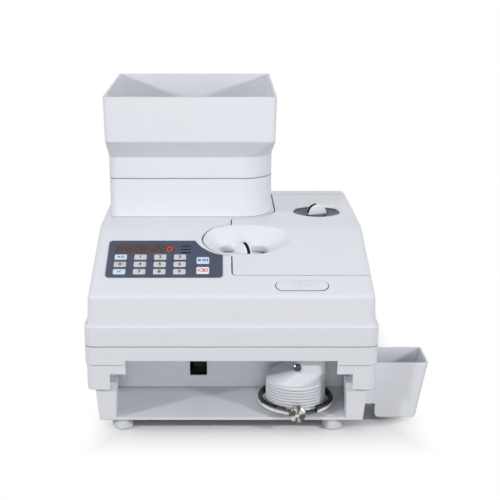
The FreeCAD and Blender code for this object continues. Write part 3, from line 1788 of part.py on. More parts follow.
def make_bridge():
    y = (d.thickness_y - d.bridge_half, d.thickness_y + d.bridge_half)
    beam_z = (d.bridge_bottom, d.bridge_bottom + d.bridge_thick)
    pieces = [
        block("bridge_beam", (d.bridge_left, d.bridge_right), y, beam_z),
        block("bridge_post_left", (d.bridge_left, d.bridge_left + d.bridge_post), y, (d.deck_top, beam_z[0])),
        block(
            "bridge_post_right",
            (d.bridge_right - d.bridge_post, d.bridge_right),
            y,
            (d.deck_top, beam_z[0]),
        ),
        block("bridge_arm", arm_x, (y[0], d.guide_back), (d.guide_top, arm_top)),
    ]
    holes = [
        rod(
            "bridge_bore",
            "z",
            (d.thickness_x, d.thickness_y),
            (d.gate_plate_z, beam_z[1] + d.wall),
            gate_hole,
        ),
    ]
    for label, spot in (("drive", d.belt_drive_y), ("idler", d.belt_idler_y)):
        span = (arm_x[0] - d.wall, arm_x[1] + d.wall)
        holes.append(
            rod(f"arm_bore_{label}", "x", (spot, d.belt_axis_z), span, d.belt_shaft_radius + d.running_gap),
        )
    return cut("bridge_form", join("bridge_solid", *pieces), *holes)


keep(make_bridge(), "track_bridge")


def belt_pulley(name, y):
    """A small roller on its own shaft, which turns in the arm."""
    wheel = rod(
        f"{name}_wheel",
        "x",
        (y, d.belt_axis_z),
        (d.belt_left, d.belt_left + d.track_belt_width),
        d.belt_pulley_radius,
    )
    shaft = rod(
        f"{name}_shaft",
        "x",
        (y, d.belt_axis_z),
        (arm_x[0] + d.slide_gap, d.belt_left),
        d.belt_shaft_radius,
    )
    return join(name, wheel, shaft)


keep(belt_pulley("belt_drive_form", d.belt_drive_y), "belt_drive_pulley")
keep(belt_pulley("belt_idler_form", d.belt_idler_y), "belt_idler_pulley")
transport_belt = belt(
    "transport_belt_loop",
    flat_spot(d.belt_drive_y, d.belt_axis_z),
    flat_spot(d.belt_idler_y, d.belt_axis_z),
    (d.belt_pulley_radius, d.belt_pulley_radius),
    d.track_belt_thick,
    d.track_belt_width,
)
belt_stand = FreeCAD.Rotation(FreeCAD.Vector(1, 1, 1), 120)
keep(place(transport_belt, d.belt_left, 0, 0, belt_stand), "transport_belt")
keep(
    rod(
        "belt_motor_can",
        "x",
        (d.belt_drive_y, d.belt_axis_z),
        (arm_x[0] - d.belt_motor_length, arm_x[0]),
        d.belt_motor_radius,
    ),
    "belt_motor",
)


def make_sensor():
    y = (d.sensor_back - d.sensor_depth, d.sensor_back)
    foot = block("sensor_foot", (d.bridge_left, arm_x[0] - d.seat_gap), y, (d.deck_top, d.rail_top))
    arm = block(
        "sensor_arm",
        (arm_x[0] - d.guide_thick, d.track_left + d.gate_blade),
        y,
        (d.guide_top + d.seat_gap, d.rail_top),
    )
    return join("sensor_form", foot, arm)


keep(make_sensor(), "coin_sensor")


# Chutes below the deck: one duct to the spout, one trough and duct to the tray
def make_chutes():
    def spout_duct(name, inset, over):
        top_x = (d.track_left + inset, d.track_right - inset)
        top_y = (d.deck_front + d.wall + inset, d.track_front - inset)
        low_x = (d.hood_left + d.chute_wall + inset, d.hood_right - d.chute_wall - inset)
        low_y = (d.hood_front + d.chute_wall + inset, d.hood_back - d.chute_wall - inset)
        corners = (d.chute_corner - inset,) * 4
        low_z = d.bay_ceiling + d.wall - over
        return loft(name, [(low_x, low_y, low_z, corners), (top_x, top_y, deck_bottom + over, corners)])

    duct = cut(
        "chute_spout",
        spout_duct("chute_spout_outer", Size("0.0"), Size("0.0")),
        spout_duct("chute_spout_inner", d.chute_wall, d.seat_gap),
    )
    wall = d.chute_wall
    low, high = d.duct_top, deck_bottom
    start, end = d.track_left - wall, d.duct_left + wall
    trough = [
        (start, high),
        (start, high - wall * 3),
        (end, low - wall * 2),
        (end, low + wall * 6),
        (d.rail_x + wall, high),
    ]
    channel = [
        (start + wall, high + wall),
        (start + wall, high - wall * 2),
        (end + wall, low - wall),
        (end + wall, low + wall * 5),
        (d.rail_x, high),
        (d.rail_x, high + wall),
    ]
    slot_y = (d.reject_slot_y - wall, d.reject_slot_y + d.reject_slot_depth + wall)
    inner_y = (d.reject_slot_y, d.reject_slot_y + d.reject_slot_depth)
    box = block(
        "duct_box",
        (d.duct_left, d.duct_right),
        (d.duct_front, d.duct_back),
        (d.duct_bottom, d.duct_top + wall * 6),
    )
    duct_inside = block(
        "duct_inside",
        (d.duct_left + wall, d.duct_right - wall),
        (d.duct_front + wall, d.duct_back - wall),
        (d.duct_bottom - wall, d.duct_top + wall * 5),
    )
    reject = cut(
        "chute_reject",
        join("chute_reject_solid", prism("trough_outer", "y", trough, slot_y), box),
        duct_inside,
        prism("trough_inner", "y", channel, inner_y),
    )
    ramp_points = [
        (d.tray_front + d.tray_depth, d.duct_bottom),
        (d.duct_back - wall, d.duct_bottom),
        (d.duct_back - wall, d.duct_top - wall * 6),
    ]
    ramp = prism("duct_ramp", "x", ramp_points, (d.duct_left + wall, d.duct_right - wall))
    return group("chute_pair", duct, join("chute_reject_form", reject, ramp))


keep(make_chutes(), "coin_chutes")


# Boards and power
def make_main_board():
    low = base_top + d.board_standoff
    x = (d.main_board_left, d.main_board_right)
    y = (d.main_board_front, d.main_board_back)
    inset = d.post_radius
    pieces = [block("main_sheet", x, y, (low, low + d.board_thick))]
    for u in (x[0] + inset, x[1] - inset):
        for v in (y[0] + inset, y[1] - inset):
            pieces.append(rod(f"standoff{len(pieces)}", "z", (u, v), (base_top, low), inset / 2))
    chip = d.board_standoff
    for index in range(3):
        left = x[0] + chip * 2 + chip * 4 * index
        spot = (left, left + chip * 2)
        pieces.append(
            block(
                f"chip{index}",
                spot,
                (y[0] + chip * 3, y[0] + chip * 6),
                (low + d.board_thick, low + chip),
            ),
        )
    return join("main_board_form", *pieces)


keep(make_main_board(), "main_board")
keep(
    rounded_block(
        "supply_box",
        (d.supply_left, d.supply_right),
        (d.supply_front, d.supply_back),
        (base_top, base_top + d.supply_height),
        d.rim_corner,
    ),
    "power_supply",
)

inlet_mid_z = d.inlet_bottom + d.inlet_height / 2
rocker_x = d.inlet_left + d.inlet_width - d.inlet_flange * 3 - d.rocker_width / 2
skirt_back = d.case_depth - d.skirt_inset
inlet_face = skirt_back + d.inlet_flange
rocker_y = inlet_face - d.rocker_depth / 2
pivot_y = inlet_face - d.rocker_depth


def make_inlet():
    flange_y = (skirt_back, inlet_face)
    inlet_x = (d.inlet_left, d.inlet_left + d.inlet_width)
    inlet_z = (d.inlet_bottom, d.inlet_bottom + d.inlet_height)
    rim = d.inlet_flange + d.seat_gap
    flange = block("inlet_plate", inlet_x, flange_y, inlet_z)
    housing = block(
        "inlet_housing",
        (inlet_x[0] + rim, inlet_x[1] - rim),
        (skirt_back - d.inlet_depth, skirt_back),
        (inlet_z[0] + rim, inlet_z[1] - rim),
    )
    socket_left = d.inlet_left + d.inlet_flange * 2
    socket = block(
        "inlet_socket",
        (socket_left, socket_left + d.socket_width),
        (skirt_back - d.inlet_depth * 0.7, flange_y[1] + d.wall),
        (inlet_mid_z - d.socket_height / 2, inlet_mid_z + d.socket_height / 2),
    )
    pins = []
    for index, (shift, lift) in enumerate(((-0.3, -0.15), (0.3, -0.15), (0.0, 0.22))):
        x = socket_left + d.socket_width * (0.5 + shift)
        z = inlet_mid_z + d.socket_height * lift
        span = (skirt_back - d.inlet_depth * 0.7 - d.wall, skirt_back - d.wall)
        pins.append(
            block(f"inlet_pin{index}", (x - d.wall / 4, x + d.wall / 4), span, (z - d.wall, z + d.wall)),
        )
    gap = d.rocker_gap
    pocket = block(
        "rocker_pocket",
        (rocker_x - d.rocker_width / 2 - gap, rocker_x + d.rocker_width / 2 + gap),
        (rocker_y - d.rocker_depth * 1.5, flange_y[1] + d.wall),
        (inlet_mid_z - d.rocker_height / 2 - gap, inlet_mid_z + d.rocker_height / 2 + gap),
    )
    pin_reach = d.rocker_width / 2 + gap + d.seat_gap * 2
    pin_span = (rocker_x - pin_reach, rocker_x + pin_reach)
    pins.append(rod("rocker_pin", "x", (pivot_y, inlet_mid_z), pin_span, d.rocker_pin_radius))
    body = cut("inlet_body", join("inlet_solid", flange, housing), socket, pocket)
    return join("inlet_form", body, *pins)


keep(make_inlet(), "power_inlet")


def make_rocker():
    """A rocker whose face is a shallow vee, flush with the inlet's plate at its pivot."""
    low = inlet_mid_z - d.rocker_height / 2
    high = inlet_mid_z + d.rocker_height / 2
    face = inlet_face
    dip = d.rocker_depth * 0.28
    points = [
        (rocker_y - d.rocker_depth / 2, low + dip),
        (face - dip, low),
        (face - dip * 1.5, inlet_mid_z),
        (face - dip, high),
        (rocker_y - d.rocker_depth / 2, high - dip),
    ]
    span = (rocker_x - d.rocker_width / 2, rocker_x + d.rocker_width / 2)
    cap = prism("rocker_cap", "x", points, span)
    hub = rod("rocker_hub", "x", (pivot_y, inlet_mid_z), span, d.rocker_hub_radius)
    reach = (span[0] - d.wall, span[1] + d.wall)
    bore = rod("rocker_bore", "x", (pivot_y, inlet_mid_z), reach, d.rocker_pin_radius + d.running_gap)
    return cut("rocker_form", join("rocker_solid", cap, hub), bore)


keep(make_rocker(), "switch_rocker")

# Every piece is rebuilt and tested before any file is written.
doc.recompute()
faults = [item.Name for item in doc.Objects if {"Invalid", "Error"} & set(item.State)]
for sub_part in SUB_PARTS:
    if sub_part.Shape.isNull() or not sub_part.Shape.isValid():
        faults.append(sub_part.Label)
if faults:
    raise RuntimeError(f"pieces that failed to build: {faults}")
for sub_part in SUB_PARTS:
    sub_part.Shape.exportStep(f"parts/{sub_part.Label}.step")
print(len(SUB_PARTS), "pieces written")
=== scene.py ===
# %% [markdown]
# # A desktop coin counter
# The machine's solids come from the imported model and stay exactly where they are. This lesson gives each
# of them a finish, adds the small pieces that only the eye needs, such as soft key caps, marks and
# pointers, and sets up the studio.

# %% Load the imported machine
import math

import bmesh
import bpy
from mathutils import Matrix, Vector


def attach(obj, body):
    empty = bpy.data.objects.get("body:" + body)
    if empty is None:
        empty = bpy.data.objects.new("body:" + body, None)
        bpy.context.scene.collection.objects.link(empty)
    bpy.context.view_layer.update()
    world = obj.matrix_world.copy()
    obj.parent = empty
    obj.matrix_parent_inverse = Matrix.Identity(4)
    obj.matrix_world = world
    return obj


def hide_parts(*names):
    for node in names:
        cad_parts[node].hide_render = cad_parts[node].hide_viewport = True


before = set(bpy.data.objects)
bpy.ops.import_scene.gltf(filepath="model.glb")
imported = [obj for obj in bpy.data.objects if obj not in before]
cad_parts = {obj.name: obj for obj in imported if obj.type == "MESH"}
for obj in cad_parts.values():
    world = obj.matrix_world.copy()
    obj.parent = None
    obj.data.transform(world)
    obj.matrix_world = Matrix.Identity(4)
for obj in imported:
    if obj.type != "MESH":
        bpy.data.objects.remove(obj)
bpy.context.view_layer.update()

# %% [markdown]
# ## Where things are
# On the drawing, places are millimetres from the middle of the case, its front face and the floor. The
# shared frame has its origin under the middle of the whole machine, so one small shift turns a drawing
# place into a scene place. The keypad lies on a slope. A matrix with the slope's own directions lets flat
# pieces be drawn flat and then laid on.

# %% Drawing places in the shared frame
MM = 0.001
SHIFT = Vector((-32.0, -171.0, 0.0))


def at(x, y, z):
    return (Vector((x, y, z)) + SHIFT) * MM


def stand(x, y, z, turn=None):
    """A matrix that takes a piece drawn in millimetres to its place."""
    return Matrix.Translation(at(x, y, z)) @ (turn or Matrix()) @ Matrix.Scale(MM, 4)


print("middle of the case's front, on the floor:", [round(v, 4) for v in at(0.0, 0.0, 0.0)])

# %% Places on the keypad's slope
SLOPE_FOOT = Vector((0.0, 4.0, 168.0))
SLOPE_RUN = 124.0
SLOPE_RISE = 52.0
SLOPE_UP = Vector((0.0, SLOPE_RUN, SLOPE_RISE)).normalized()
SLOPE_OUT = Vector((0.0, -SLOPE_RISE, SLOPE_RUN)).normalized()


def lay(x, y, lift):
    """The same for a flat piece on the slope, lifted off it by a little."""
    turn = Matrix((Vector((1, 0, 0)), SLOPE_UP, SLOPE_OUT)).transposed().to_4x4()
    spot = SLOPE_FOOT + SLOPE_UP * ((y - SLOPE_FOOT.y) / SLOPE_UP.y) + SLOPE_OUT * lift
    return stand(x, spot.y, spot.z, turn)


print("slope:", round(math.degrees(math.atan2(SLOPE_RISE, SLOPE_RUN)), 1), "degrees")

# %% [markdown]
# ## The camera
# The photograph was taken from a little above the hopper's rim with a long lens, looking slightly down
# and straight at the front. The lens and height were fitted from the case's edges; the small shift puts
# the lens axis off-centre, because the picture was cropped that way.

# %% Camera at the photograph's viewing angle
CAMERA_SPOT = (-0.0428, -1.228, 0.532)
CAMERA_DIP = 16.3


def new_object(name, data):
    made = bpy.data.objects.new(name, data)
    bpy.context.scene.collection.objects.link(made)
    return made


eye = bpy.data.cameras.new("studio_camera")
eye.lens = 72.0
eye.sensor_width = 36.0
eye.shift_x = 0.056
camera = new_object("studio_camera", eye)
camera.location = CAMERA_SPOT
camera.rotation_euler = (math.radians(90.0 - CAMERA_DIP), 0.0, 0.0)
bpy.context.scene.camera = camera
bpy.context.scene.view_settings.view_transform = "Standard"
print("camera at", CAMERA_SPOT, "looking", CAMERA_DIP, "degrees down")

# %% [markdown]
# ## A small language for finishes
# Each finish is a node tree. Writing trees link by link is long, so one class wraps a socket and lets
# Python's signs add the Math nodes. A second class holds a tree and makes any node from its type, what
# goes into its sockets and its settings. A finish is such a tree with one main shader, and knows about
# grain, edges and seams.

# %% A wire, with arithmetic
class Wire:
    """One output socket; plus, minus and times add Math nodes."""

    def __init__(self, owner, socket):
        self.owner = owner
        self.socket = socket

    def __add__(self, other):
        return self.owner.math("ADD", self, other)

    def __radd__(self, other):
        return self.owner.math("ADD", other, self)

    def __sub__(self, other):
        return self.owner.math("SUBTRACT", self, other)

    def __rsub__(self, other):
        return self.owner.math("SUBTRACT", other, self)

    def __mul__(self, other):
        return self.owner.math("MULTIPLY", self, other)

    def __rmul__(self, other):
        return self.owner.math("MULTIPLY", other, self)


print("wires take plus, minus and times")

# %% A tree of nodes
class Nodes:
    """A node tree, and one method that makes any node in it."""

    def __init__(self, tree):
        self.tree = tree

    def node(self, kind, sockets=None, output=0, **settings):
        made = self.tree.nodes.new(kind)
        for setting, value in settings.items():
            setattr(made, setting, value)
        for socket, value in (sockets or {}).items():
            self.join(value, made.inputs[socket])
        return Wire(self, made.outputs[output])

    def join(self, value, socket):
        if isinstance(value, Wire):
            self.tree.links.new(value.socket, socket)
        else:
            socket.default_value = value

    def math(self, operation, first, second=0.0):
        return self.node("ShaderNodeMath", {0: first, 1: second}, operation=operation)

    def vector(self, operation, first, second=(0.0, 0.0, 0.0), output=0):
        return self.node("ShaderNodeVectorMath", {0: first, 1: second}, output, operation=operation)

    def larger(self, first, second):
        return self.math("MAXIMUM", first, second)

    def along(self, vector, axis):
        """A vector's number along one axis: 0, 1 or 2."""
        return self.node("ShaderNodeSeparateXYZ", {0: vector}, axis)

    def band(self, value, low, high, start=0.0, end=1.0):
        """Maps a value between low and high to start and end, and holds it there."""
        sockets = {"Value": value, 1: low, 2: high, 3: start, 4: end}
        return self.node("ShaderNodeMapRange", sockets, interpolation_type="SMOOTHSTEP")

    def ray(self, kind):
        """One for rays of a kind, which is Camera, Glossy or Transmission, and nought for the others."""
        return self.node("ShaderNodeLightPath", output=f"Is {kind} Ray")

    def either(self, mask, first, second):
        """One shader where the mask is nought and another where it is one."""
        return self.node("ShaderNodeMixShader", {0: mask, 1: first, 2: second})


print("trees make nodes")

# %% A finish
class Finish(Nodes):
    """A material with one main shader; constants sit on the shader's own sockets."""

    def __init__(self, name, **constants):
        self.material = bpy.data.materials.new(name)
        self.material.use_nodes = True
        super().__init__(self.material.node_tree)
        self.shader = self.tree.nodes["Principled BSDF"]
        self.feed(**constants)

    def feed(self, **values):
        """Puts wires or constants on the shader; base_color stands for its Base Color socket."""
        for word, value in values.items():
            socket = word.replace("_", " ").title().replace("Ior", "IOR")
            self.join(value, self.shader.inputs[socket])
        return self

    def spot(self):
        return self.node("ShaderNodeTexCoord", output="Object")

    def offset(self, middle):
        return self.vector("SUBTRACT", self.spot(), tuple(middle))

    def about(self, offset, first, second):
        """The distance from a middle and the turn about it, in the plane of two axes."""
        plane = tuple(float(axis in (first, second)) for axis in range(3))
        distance = self.vector("LENGTH", self.vector("MULTIPLY", offset, plane), output="Value")
        turn = self.math("ARCTAN2", self.along(offset, second), self.along(offset, first))
        return distance, turn

    def grain(self, size, detail, stretch=None):
        """Noise whose lumps are about size millimetres across, drawn out by stretch."""
        place = self.spot()
        if stretch:
            place = self.node("ShaderNodeMapping", {"Vector": place, "Scale": stretch})
        sockets = {"Vector": place, "Scale": 1.0 / MM / size, "Detail": detail}
        return self.node("ShaderNodeTexNoise", sockets, "Fac")

    def ripple(self, value, scale, detail):
        """Noise along one number, such as a distance or a turn."""
        sockets = {"W": value, "Scale": scale, "Detail": detail}
        return self.node("ShaderNodeTexNoise", sockets, "Fac", noise_dimensions="1D")

    def blend(self, mask, first, second):
        return self.node("ShaderNodeMix", {"Factor": mask, 6: first, 7: second}, 2, data_type="RGBA")

    def soft_edges(self, radius):
        """A normal that runs round sharp edges, as a moulding's do."""
        return self.node("ShaderNodeBevel", {"Radius": radius * MM}, samples=4)

    def edge_mask(self, soft):
        """Where the softened normal leaves the true one: the edges, for wear and for painted edge
        highlights.
        """
        true = self.node("ShaderNodeNewGeometry", output="Normal")
        same = self.vector("DOT_PRODUCT", soft, true, "Value")
        return self.band(1.0 - same, 0.02, 0.3)

    def crevice_shade_mask(self, reach, soft):
        """Where other faces stand closer than reach, the bottoms and lips of seams and grooves: a mask for
        painted shade.
        """
        sockets = {"Distance": reach * MM, "Normal": soft}
        open_sky = self.node("ShaderNodeAmbientOcclusion", sockets, "AO", samples=8)
        return self.band(open_sky, 0.3, 0.72, 1.0, 0.0)

    def bump(self, height, depth, under=None):
        sockets = {"Height": height, "Distance": depth * MM}
        if under:
            sockets["Normal"] = under
        return self.node("ShaderNodeBump", sockets)


print("finishes know grain, edges and seams")

# %% [markdown]
# ## Colours
# Colours are written as they look on screen, from 0 to 255, as a paint program shows them. A shader works
# with linear light, so each level goes through the screen's own curve first.

# %% Screen colours as linear light
def linear(level):
    share = level / 255
    return share / 12.92 if level <= 10 else ((share + 0.055) / 1.055) ** 2.4


def tone(red, green, blue):
    return (linear(red), linear(green), linear(blue), 1.0)


def shade(colour, gain):
    """The same colour, lighter or darker."""
    return (*[min(1.0, v * gain) for v in colour[:3]], 1.0)


CASE_TONE = tone(231, 233, 239)
print("case colour in linear light:", [round(v, 3) for v in CASE_TONE[:3]])

# %% [markdown]
# ## Moulded plastic
# The case is pale, cool grey styrene with a very fine spark-eroded grain. Its colour drifts a little
# where the melt flowed, dust dulls it in patches, and its edges are smooth and painted a touch brighter,
# partly as wear from handling and partly as a painted highlight. That is noise at different sizes, and a
# softened normal for the edges. The seams between the shells and the spout's grooves get painted shade:
# what other faces crowd in on is darkened by ambient occlusion.

# %% Case and other plastics
PAINTED_SEAM_SHADE_TONE = 0.12
PAINTED_SEAM_SHADE_SHARE = 0.85


def moulded(name, colour, rough, grain=0.55, depth=0.012, drift=0.016, edge=0.5, edge_wear_and_highlight=1.05, painted_shade_reach=0.0):
    """Grain, its depth, the soft edge and the reach of the painted shade in seams are in millimetres."""
    finish = Finish(name)
    broad = finish.grain(70.0, 3.0)
    patch = finish.grain(14.0, 4.0)
    fine = finish.grain(grain, 2.0)
    soft = finish.soft_edges(edge)
    edges = finish.edge_mask(soft)
    flow = broad * 0.65 + patch * 0.35
    drifted = finish.blend(flow, shade(colour, 1.0 - drift), shade(colour, 1.0 + drift))
    speck = finish.band(finish.grain(grain * 2.4, 1.0), 0.68, 0.78)
    specked = finish.blend(speck * 0.5, drifted, shade(colour, 0.9))
    # Edges are painted lighter: partly wear from handling, partly a painted highlight.
    surface = finish.blend(edges * 0.6, specked, shade(colour, edge_wear_and_highlight))
    # Seams and grooves get painted shade wherever ambient occlusion finds faces close by.
    if painted_shade_reach:
        painted_seam_shade = finish.crevice_shade_mask(painted_shade_reach, soft)
        surface = finish.blend(painted_seam_shade * PAINTED_SEAM_SHADE_SHARE, surface, shade(colour, PAINTED_SEAM_SHADE_TONE))
    dull = rough + (patch - 0.5) * 0.05 + (fine - 0.5) * 0.06 - edges * 0.08
    return finish.feed(base_color=surface, roughness=dull, normal=finish.bump(fine, depth, soft))


# The case, hopper and spout carry painted shade in their seams; edges are painted lighter as wear and
# painted highlight.
case_plastic = moulded("case_plastic", CASE_TONE, 0.34, edge=1.2, edge_wear_and_highlight=1.2, painted_shade_reach=2.4)
hopper_plastic = moulded("hopper_plastic", CASE_TONE, 0.3, edge=2.2, edge_wear_and_highlight=1.2, painted_shade_reach=1.6)
spout_plastic = moulded("spout_plastic", CASE_TONE, 0.46, edge=0.9, painted_shade_reach=1.6)
foot_plastic = moulded("foot_plastic", tone(228, 230, 236), 0.36, grain=0.4)
chute_plastic = moulded("chute_plastic", tone(206, 208, 212), 0.38)
knob_plastic = moulded("knob_plastic", tone(236, 238, 243), 0.3, grain=0.35, depth=0.006, edge=0.3)
dish_plastic = moulded("dial_dish_plastic", tone(52, 62, 84), 0.34, drift=0.06, edge_wear_and_highlight=1.5)
disc_plastic = moulded("feed_disc_plastic", tone(92, 95, 100), 0.46, drift=0.1, edge_wear_and_highlight=1.4)
pulley_plastic = moulded("pulley_plastic", tone(222, 218, 206), 0.4, drift=0.05)
socket_plastic = moulded("socket_plastic", tone(38, 39, 42), 0.4, drift=0.12, edge=0.25, edge_wear_and_highlight=1.9)
print("plastics:", ", ".join(made.name for made in bpy.data.materials if "plastic" in made.name))

# %% [markdown]
# ## Printed film, window and keys
# The keypad is a slate-blue film with a satin face; its faint sparkle is lighter specks in its print,
# painted glints. The display window is dark red acrylic, glossy, over unlit figures. Key caps are small
# satin mouldings in pale grey, blue and pink. Ink is matt and wears thin in spots, and the lit figure
# glows a little by itself.

# %% Film and window
def printed_film(name, colour):
    finish = Finish(name, coat_roughness=0.32)
    weave = finish.grain(0.7, 1.0)
    cloud = finish.grain(22.0, 3.0)
    # Lighter specks painted in as glints.
    painted_glints = finish.band(finish.grain(0.9, 0.0), 0.66, 0.74)
    ground = finish.blend(cloud, shade(colour, 0.92), shade(colour, 1.08))
    return finish.feed(
        base_color=finish.blend(painted_glints * 0.35, ground, shade(colour, 1.5)),
        roughness=0.44 + (cloud - 0.5) * 0.12,
        coat_weight=0.12 + cloud * 0.12,
        normal=finish.bump(weave, 0.01, finish.soft_edges(0.25)),
    )


def dark_window(name, colour):
    finish = Finish(name, coat_roughness=0.06)
    depth = finish.grain(9.0, 2.0, (0.5, 2.0, 2.0))
    dust = finish.band(finish.grain(1.3, 2.0), 0.62, 0.78)
    glow = finish.blend(depth, shade(colour, 0.75), shade(colour, 1.3))
    return finish.feed(
        base_color=finish.blend(dust * 0.12, glow, tone(150, 120, 116)),
        roughness=0.2 + dust * 0.25,
        coat_weight=0.75 - dust * 0.3,
        normal=finish.bump(depth, 0.01, finish.soft_edges(0.25)),
    )


slate_film = printed_film("slate_film", tone(62, 72, 94))
window_acrylic = dark_window("window_acrylic", tone(66, 46, 46))
print("film and window:", slate_film.material.name, window_acrylic.material.name)

# %% Key caps, inks and the lit figure
CAP_LOOKS = {"rough": 0.36, "grain": 0.4, "depth": 0.006, "drift": 0.025, "edge": 0.2}
cap_grey = moulded("key_cap_grey", tone(212, 214, 217), **CAP_LOOKS)
cap_blue = moulded("key_cap_blue", tone(212, 233, 250), **CAP_LOOKS)
cap_pink = moulded("key_cap_pink", tone(208, 201, 202), **CAP_LOOKS)
cap_white = moulded("key_cap_white", tone(252, 242, 246), **CAP_LOOKS)


def ink(name, colour, rough=0.5, gloss=0.5):
    finish = Finish(name, specular_ior_level=gloss)
    wear = finish.grain(1.2, 3.0)
    faded = finish.blend(finish.band(wear, 0.5, 0.8), colour, shade(colour, 1.5))
    return finish.feed(base_color=faded, roughness=rough + (wear - 0.5) * 0.2)


def lamp_red(name):
    finish = Finish(name, emission_strength=0.38)
    cells = finish.grain(1.6, 2.0)
    glow = finish.blend(cells, tone(196, 14, 18), tone(226, 34, 34))
    return finish.feed(base_color=glow, emission_color=glow, roughness=0.3 + cells * 0.1)


ink_dark = ink("ink_dark", tone(20, 24, 36))
ink_black = ink("ink_black", tone(12, 13, 18), 0.6, 0.15)
ink_blue = ink("ink_blue", tone(22, 36, 92))
ink_red = ink("ink_red", tone(168, 22, 44))
pointer_black = ink("pointer_black", tone(10, 10, 12), 0.6, 0.12)
unlit_red = ink("unlit_figure", tone(82, 47, 46), 0.3)
lit_red = lamp_red("lit_figure")
print("caps and inks made; finishes so far:", len(bpy.data.materials))

# %% [markdown]
# ## Metals
# The clamp ring is bright-plated. Its reflection of the dark bay above it and the pale floor below is laid
# into its colour by place as a painted reflection: dark above and inside, bright on the lower outside.
# The thumb knob is faced on a lathe, which leaves rings round the middle: noise read along the distance
# from it, with painted highlights for the fans of light that such rings throw. The works inside are
# brushed sheet, which is noise drawn out many times along one direction.

# %% Plated screws and clamp ring
RING_MIDDLE = at(77.0, 45.0, 26.5)
RING_INNER = 40.5 * MM
RING_OUTER = 45.0 * MM


def plated(name, colour, rough):
    finish = Finish(name, metallic=1.0)
    haze = finish.grain(9.0, 4.0)
    pits = finish.band(finish.grain(0.8, 2.0), 0.7, 0.8)
    tarnish = finish.blend(haze, shade(colour, 0.9), shade(colour, 1.06))
    return finish.feed(
        base_color=finish.blend(pits * 0.25, tarnish, shade(colour, 0.5)),
        roughness=rough + haze * 0.1 + pits * 0.2,
        normal=finish.bump(haze, 0.03, finish.soft_edges(0.5)),
    )


def ring_with_painted_reflection(name, colour):
    """Painted reflection: dark above and inside, and bright on the ring's lower outside."""
    finish = Finish(name)
    haze = finish.grain(9.0, 4.0)
    offset = finish.offset(RING_MIDDLE)
    radius, turn = finish.about(offset, 0, 1)
    # Painted reflection: the lower outside is painted bright and made mostly diffuse, and the top and
    # inside are painted dark.
    streaks = finish.ripple(turn, 3.4, 2.0)
    outside = finish.band(radius, RING_OUTER - 1.2 * MM, RING_OUTER - 0.2 * MM)
    height = finish.along(offset, 2) + (streaks - 0.5) * (6.0 * MM)
    bright = outside * finish.band(height, 2.6 * MM, -1.0 * MM)
    across = finish.band(radius, RING_INNER, RING_OUTER)
    painted_dark_reflection = finish.blend(across, shade(colour, 0.015), shade(colour, 0.16))
    return finish.feed(
        base_color=finish.blend(bright, painted_dark_reflection, shade(colour, 1.25)),
        metallic=1.0 - bright * 0.85,
        roughness=0.06 + haze * 0.08,
        normal=finish.bump(haze, 0.03, finish.soft_edges(0.8)),
    )


screw_plate = plated("screw_plate", tone(104, 105, 110), 0.03)
ring_plate = ring_with_painted_reflection("ring_plate", tone(226, 226, 224))
print("plating made; ring middle at", [round(v, 4) for v in RING_MIDDLE])

# %% Turned knob
KNOB_MIDDLE = at(76.0, -3.0, 26.5)
WIDE_FANS = math.radians(80.0)
NARROW_FANS = math.radians(-150.0)


def lathe_turned(name, colour):
    """Rings on a face that looks forward, with two wide and two narrow fans of light painted across them
    as highlights.
    """
    finish = Finish(name, metallic=1.0)
    radius, turn = finish.about(finish.offset(KNOB_MIDDLE), 0, 2)
    rings = finish.ripple(radius, 5200.0, 3.0)
    smear = finish.grain(4.0, 3.0)
    # The fans are painted highlights, laid into the colour by the turn about the middle.
    wide = finish.math("COSINE", turn * 2.0 - WIDE_FANS)
    narrow = finish.math("COSINE", turn * 2.0 - NARROW_FANS)
    painted_wide_fans = finish.band(wide + (smear - 0.5) * 0.2, 0.3, 0.98)
    fans = finish.larger(painted_wide_fans, finish.band(narrow, 0.8, 1.0) * 0.7)
    painted_fan_highlights = finish.blend(fans, shade(colour, 0.15), shade(colour, 1.3))
    return finish.feed(
        base_color=finish.blend(rings * 0.3, painted_fan_highlights, shade(colour, 0.6)),
        roughness=0.2 + smear * 0.12,
        normal=finish.bump(rings, 0.06),
    )


knob_steel = lathe_turned("knob_steel", tone(214, 213, 206))
print("turned steel made; knob middle at", [round(v, 4) for v in KNOB_MIDDLE])

# %% Brushed sheet and shafts
def brushed(name, colour, along=(0.02, 1.0, 1.0), rough=0.36):
    finish = Finish(name, metallic=1.0)
    strokes = finish.grain(0.5, 3.0, along)
    stain = finish.grain(40.0, 4.0)
    worked = strokes * 0.6 + stain * 0.4
    return finish.feed(
        base_color=finish.blend(worked, shade(colour, 0.82), shade(colour, 1.1)),
        roughness=rough + (stain - 0.5) * 0.25 + (strokes - 0.5) * 0.15,
        normal=finish.bump(strokes, 0.006, finish.soft_edges(0.25)),
    )


shaft_steel = brushed("shaft_steel", tone(200, 202, 204), (1.0, 1.0, 0.02), 0.28)
deck_sheet = brushed("deck_sheet", tone(205, 207, 208))
track_sheet = brushed("track_sheet", tone(214, 216, 216), (1.0, 0.02, 1.0), 0.3)
bearing_alloy = brushed("bearing_alloy", tone(178, 180, 182), (1.0, 1.0, 0.3), 0.46)
supply_case = brushed("supply_case", tone(196, 198, 200), (1.0, 1.0, 0.03), 0.42)
print("brushed metals made; finishes so far:", len(bpy.data.materials))

# %% [markdown]
# ## Rubber, boards and paint
# Inside the case there are toothless belts, painted motor cans and two circuit boards. They are seen only
# when the hatch is open or from below, but they get the same care: dusty rubber, orange-peel paint that
# is chipped at its edges, and a solder mask over copper tracks drawn with a brick pattern.

# %% Finishes for the works
def rubber(name, colour):
    finish = Finish(name)
    dust = finish.grain(6.0, 4.0)
    ribs = finish.grain(0.8, 2.0)
    grey = finish.blend(finish.band(dust, 0.45, 0.8) * 0.5, colour, shade(colour, 3.2))
    return finish.feed(base_color=grey, roughness=0.72 + dust * 0.18, normal=finish.bump(ribs, 0.05))


